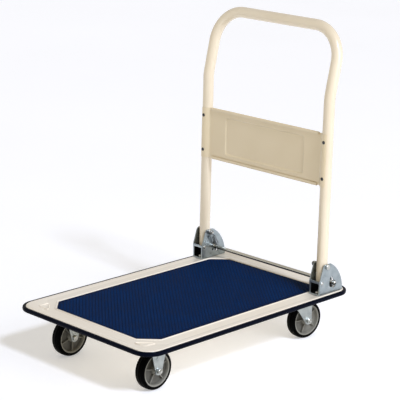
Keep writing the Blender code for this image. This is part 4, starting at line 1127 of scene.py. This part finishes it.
for side, sign in SIDES.items():
    low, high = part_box(f"bar_clip_{side}")
    radius = (high.y - low.y) / 2
    rings = []
    for angle in spread(radians(100), radians(420), 44):
        out = Vector((0, cos(angle), sin(angle)))
        rings.append([bar_centre + out * reach + Vector((x - bar_centre.x, 0, 0))
                      for x, reach in ((low.x, BAR_RADIUS + 0.0001), (high.x, BAR_RADIUS + 0.0001),
                                       (high.x, radius * 0.96), (low.x, radius * 0.96))])
    clip = softened(shaped(f"retaining_ring_{side}", skin(rings), spring_steel), 0.0002)
    fitted(clip, "release_bar", "spring_steel", f"bar_clip_{side}")

    low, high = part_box(f"return_spring_{side}")
    out = (low.x + high.x) / 2
    across_line = Vector((0, -bar_line.z, bar_line.y))
    origin = Vector((out, pivot.y, pivot.z))
    top_hook, low_hook = 0.0040 + WIRE + 0.0003, BAR_RADIUS + WIRE + 0.0003
    first, final = top_hook + 0.0055, PIVOT_TO_BAR - low_hook - 0.0055
    wire = []
    for angle in spread(radians(50), radians(350), 18):
        wire.append(origin + bar_line * top_hook * cos(angle) + across_line * top_hook * sin(angle))
    steps = TURNS * 16
    for step in range(steps + 1):
        angle = tau * step / 16
        along = first + (final - first) * step / steps
        wire.append(origin + bar_line * along + across_line * COIL * sin(angle)
                    - Vector((COIL * cos(angle), 0, 0)))
    for angle in spread(radians(170), radians(-130), 18):
        along = PIVOT_TO_BAR + low_hook * cos(angle)
        wire.append(origin + bar_line * along + across_line * low_hook * sin(angle))
    shape = skin(swept(wire, WIRE, 10, (0, 1, 0)))
    spring = shaped(f"extension_spring_{side}", shape, spring_steel, smooth=60)
    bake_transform(spring)
    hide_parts(f"return_spring_{side}")

# ---- Studio ----
# A pale floor that runs out of view, a soft-edged sun and one softbox from the right, a warm sky
# that fills the shadows, and a long lens on the cart from its front right corner.
shape = bmesh.new()
bmesh.ops.create_grid(shape, x_segments=1, y_segments=1, size=30)
made, tree, shader = finish_material("lit white acrylic floor", Roughness=0.8, Specular_IOR_Level=0.1,
                                     Emission_Color=colour("FFFFFF"), Emission_Strength=0.36)
place = add(tree, "TexCoord").outputs["Object"]
tone = add(tree, "TexNoise", {"Vector": place, "Scale": 1000 / 900}).outputs["Fac"]
white = add(tree, "Mix", {"Factor": tone, "A": colour("DEDEDE"), "B": colour("E5E5E5")}, data_type="RGBA")
tree.links.new(white.outputs["Result"], shader.inputs["Base Color"])
floor = shaped("studio_floor", shape, made)

world = bpy.data.worlds.new("soft studio")
bpy.context.scene.world = world
world.use_nodes = True
sky = world.node_tree
height = add(sky, "SeparateXYZ", {"Vector": add(sky, "TexCoord").outputs["Generated"]})
walls = add(sky, "ValToRGB", {"Fac": height.outputs["Z"]})
walls.color_ramp.elements[0].color = colour("FFFAF3")
walls.color_ramp.elements[1].color = colour("8E877C")
sky.links.new(walls.outputs["Color"], sky.nodes["Background"].inputs["Color"])
sky.nodes["Background"].inputs["Strength"].default_value = 0.86

lamp = bpy.data.lights.new("side", "AREA")
lamp.size = 1.6
lamp.energy = 36
lamp.color = colour("EEF2FF")[:3]
softbox = placed("side", lamp)
softbox.location = (3.0, 0.5, 1.6)
softbox.rotation_euler = (Vector((0, 0, 0.35)) - softbox.location).to_track_quat("-Z", "Y").to_euler()
softbox.visible_camera = False
sun = bpy.data.lights.new("key", "SUN")
sun.energy = 2.05
sun.color = colour("DFE8FF")[:3]
sun.angle = radians(9)
key = placed("key", sun)
key.rotation_euler = Vector((0.70, -0.13, 0.72)).to_track_quat("Z", "Y").to_euler()

AZIMUTH = radians(44.20)
ELEVATION = radians(15.27)
ROLL = radians(1.43)
back = Vector((sin(AZIMUTH) * cos(ELEVATION), -cos(AZIMUTH) * cos(ELEVATION),
               sin(ELEVATION)))
level = Vector((cos(AZIMUTH), sin(AZIMUTH), 0))
upright = back.cross(level)
right = level * cos(ROLL) + upright * sin(ROLL)
up = upright * cos(ROLL) - level * sin(ROLL)
lens = bpy.data.cameras.new("camera")
lens.sensor_width = 36
lens.lens = 142.9
camera = placed("camera", lens)
facing = Matrix((right, up, back)).transposed().to_4x4()
camera.matrix_world = Matrix.Translation((2.6867, -2.7280, 1.4332)) @ facing
bpy.context.scene.camera = camera
bpy.context.scene.view_settings.view_transform = "Standard"
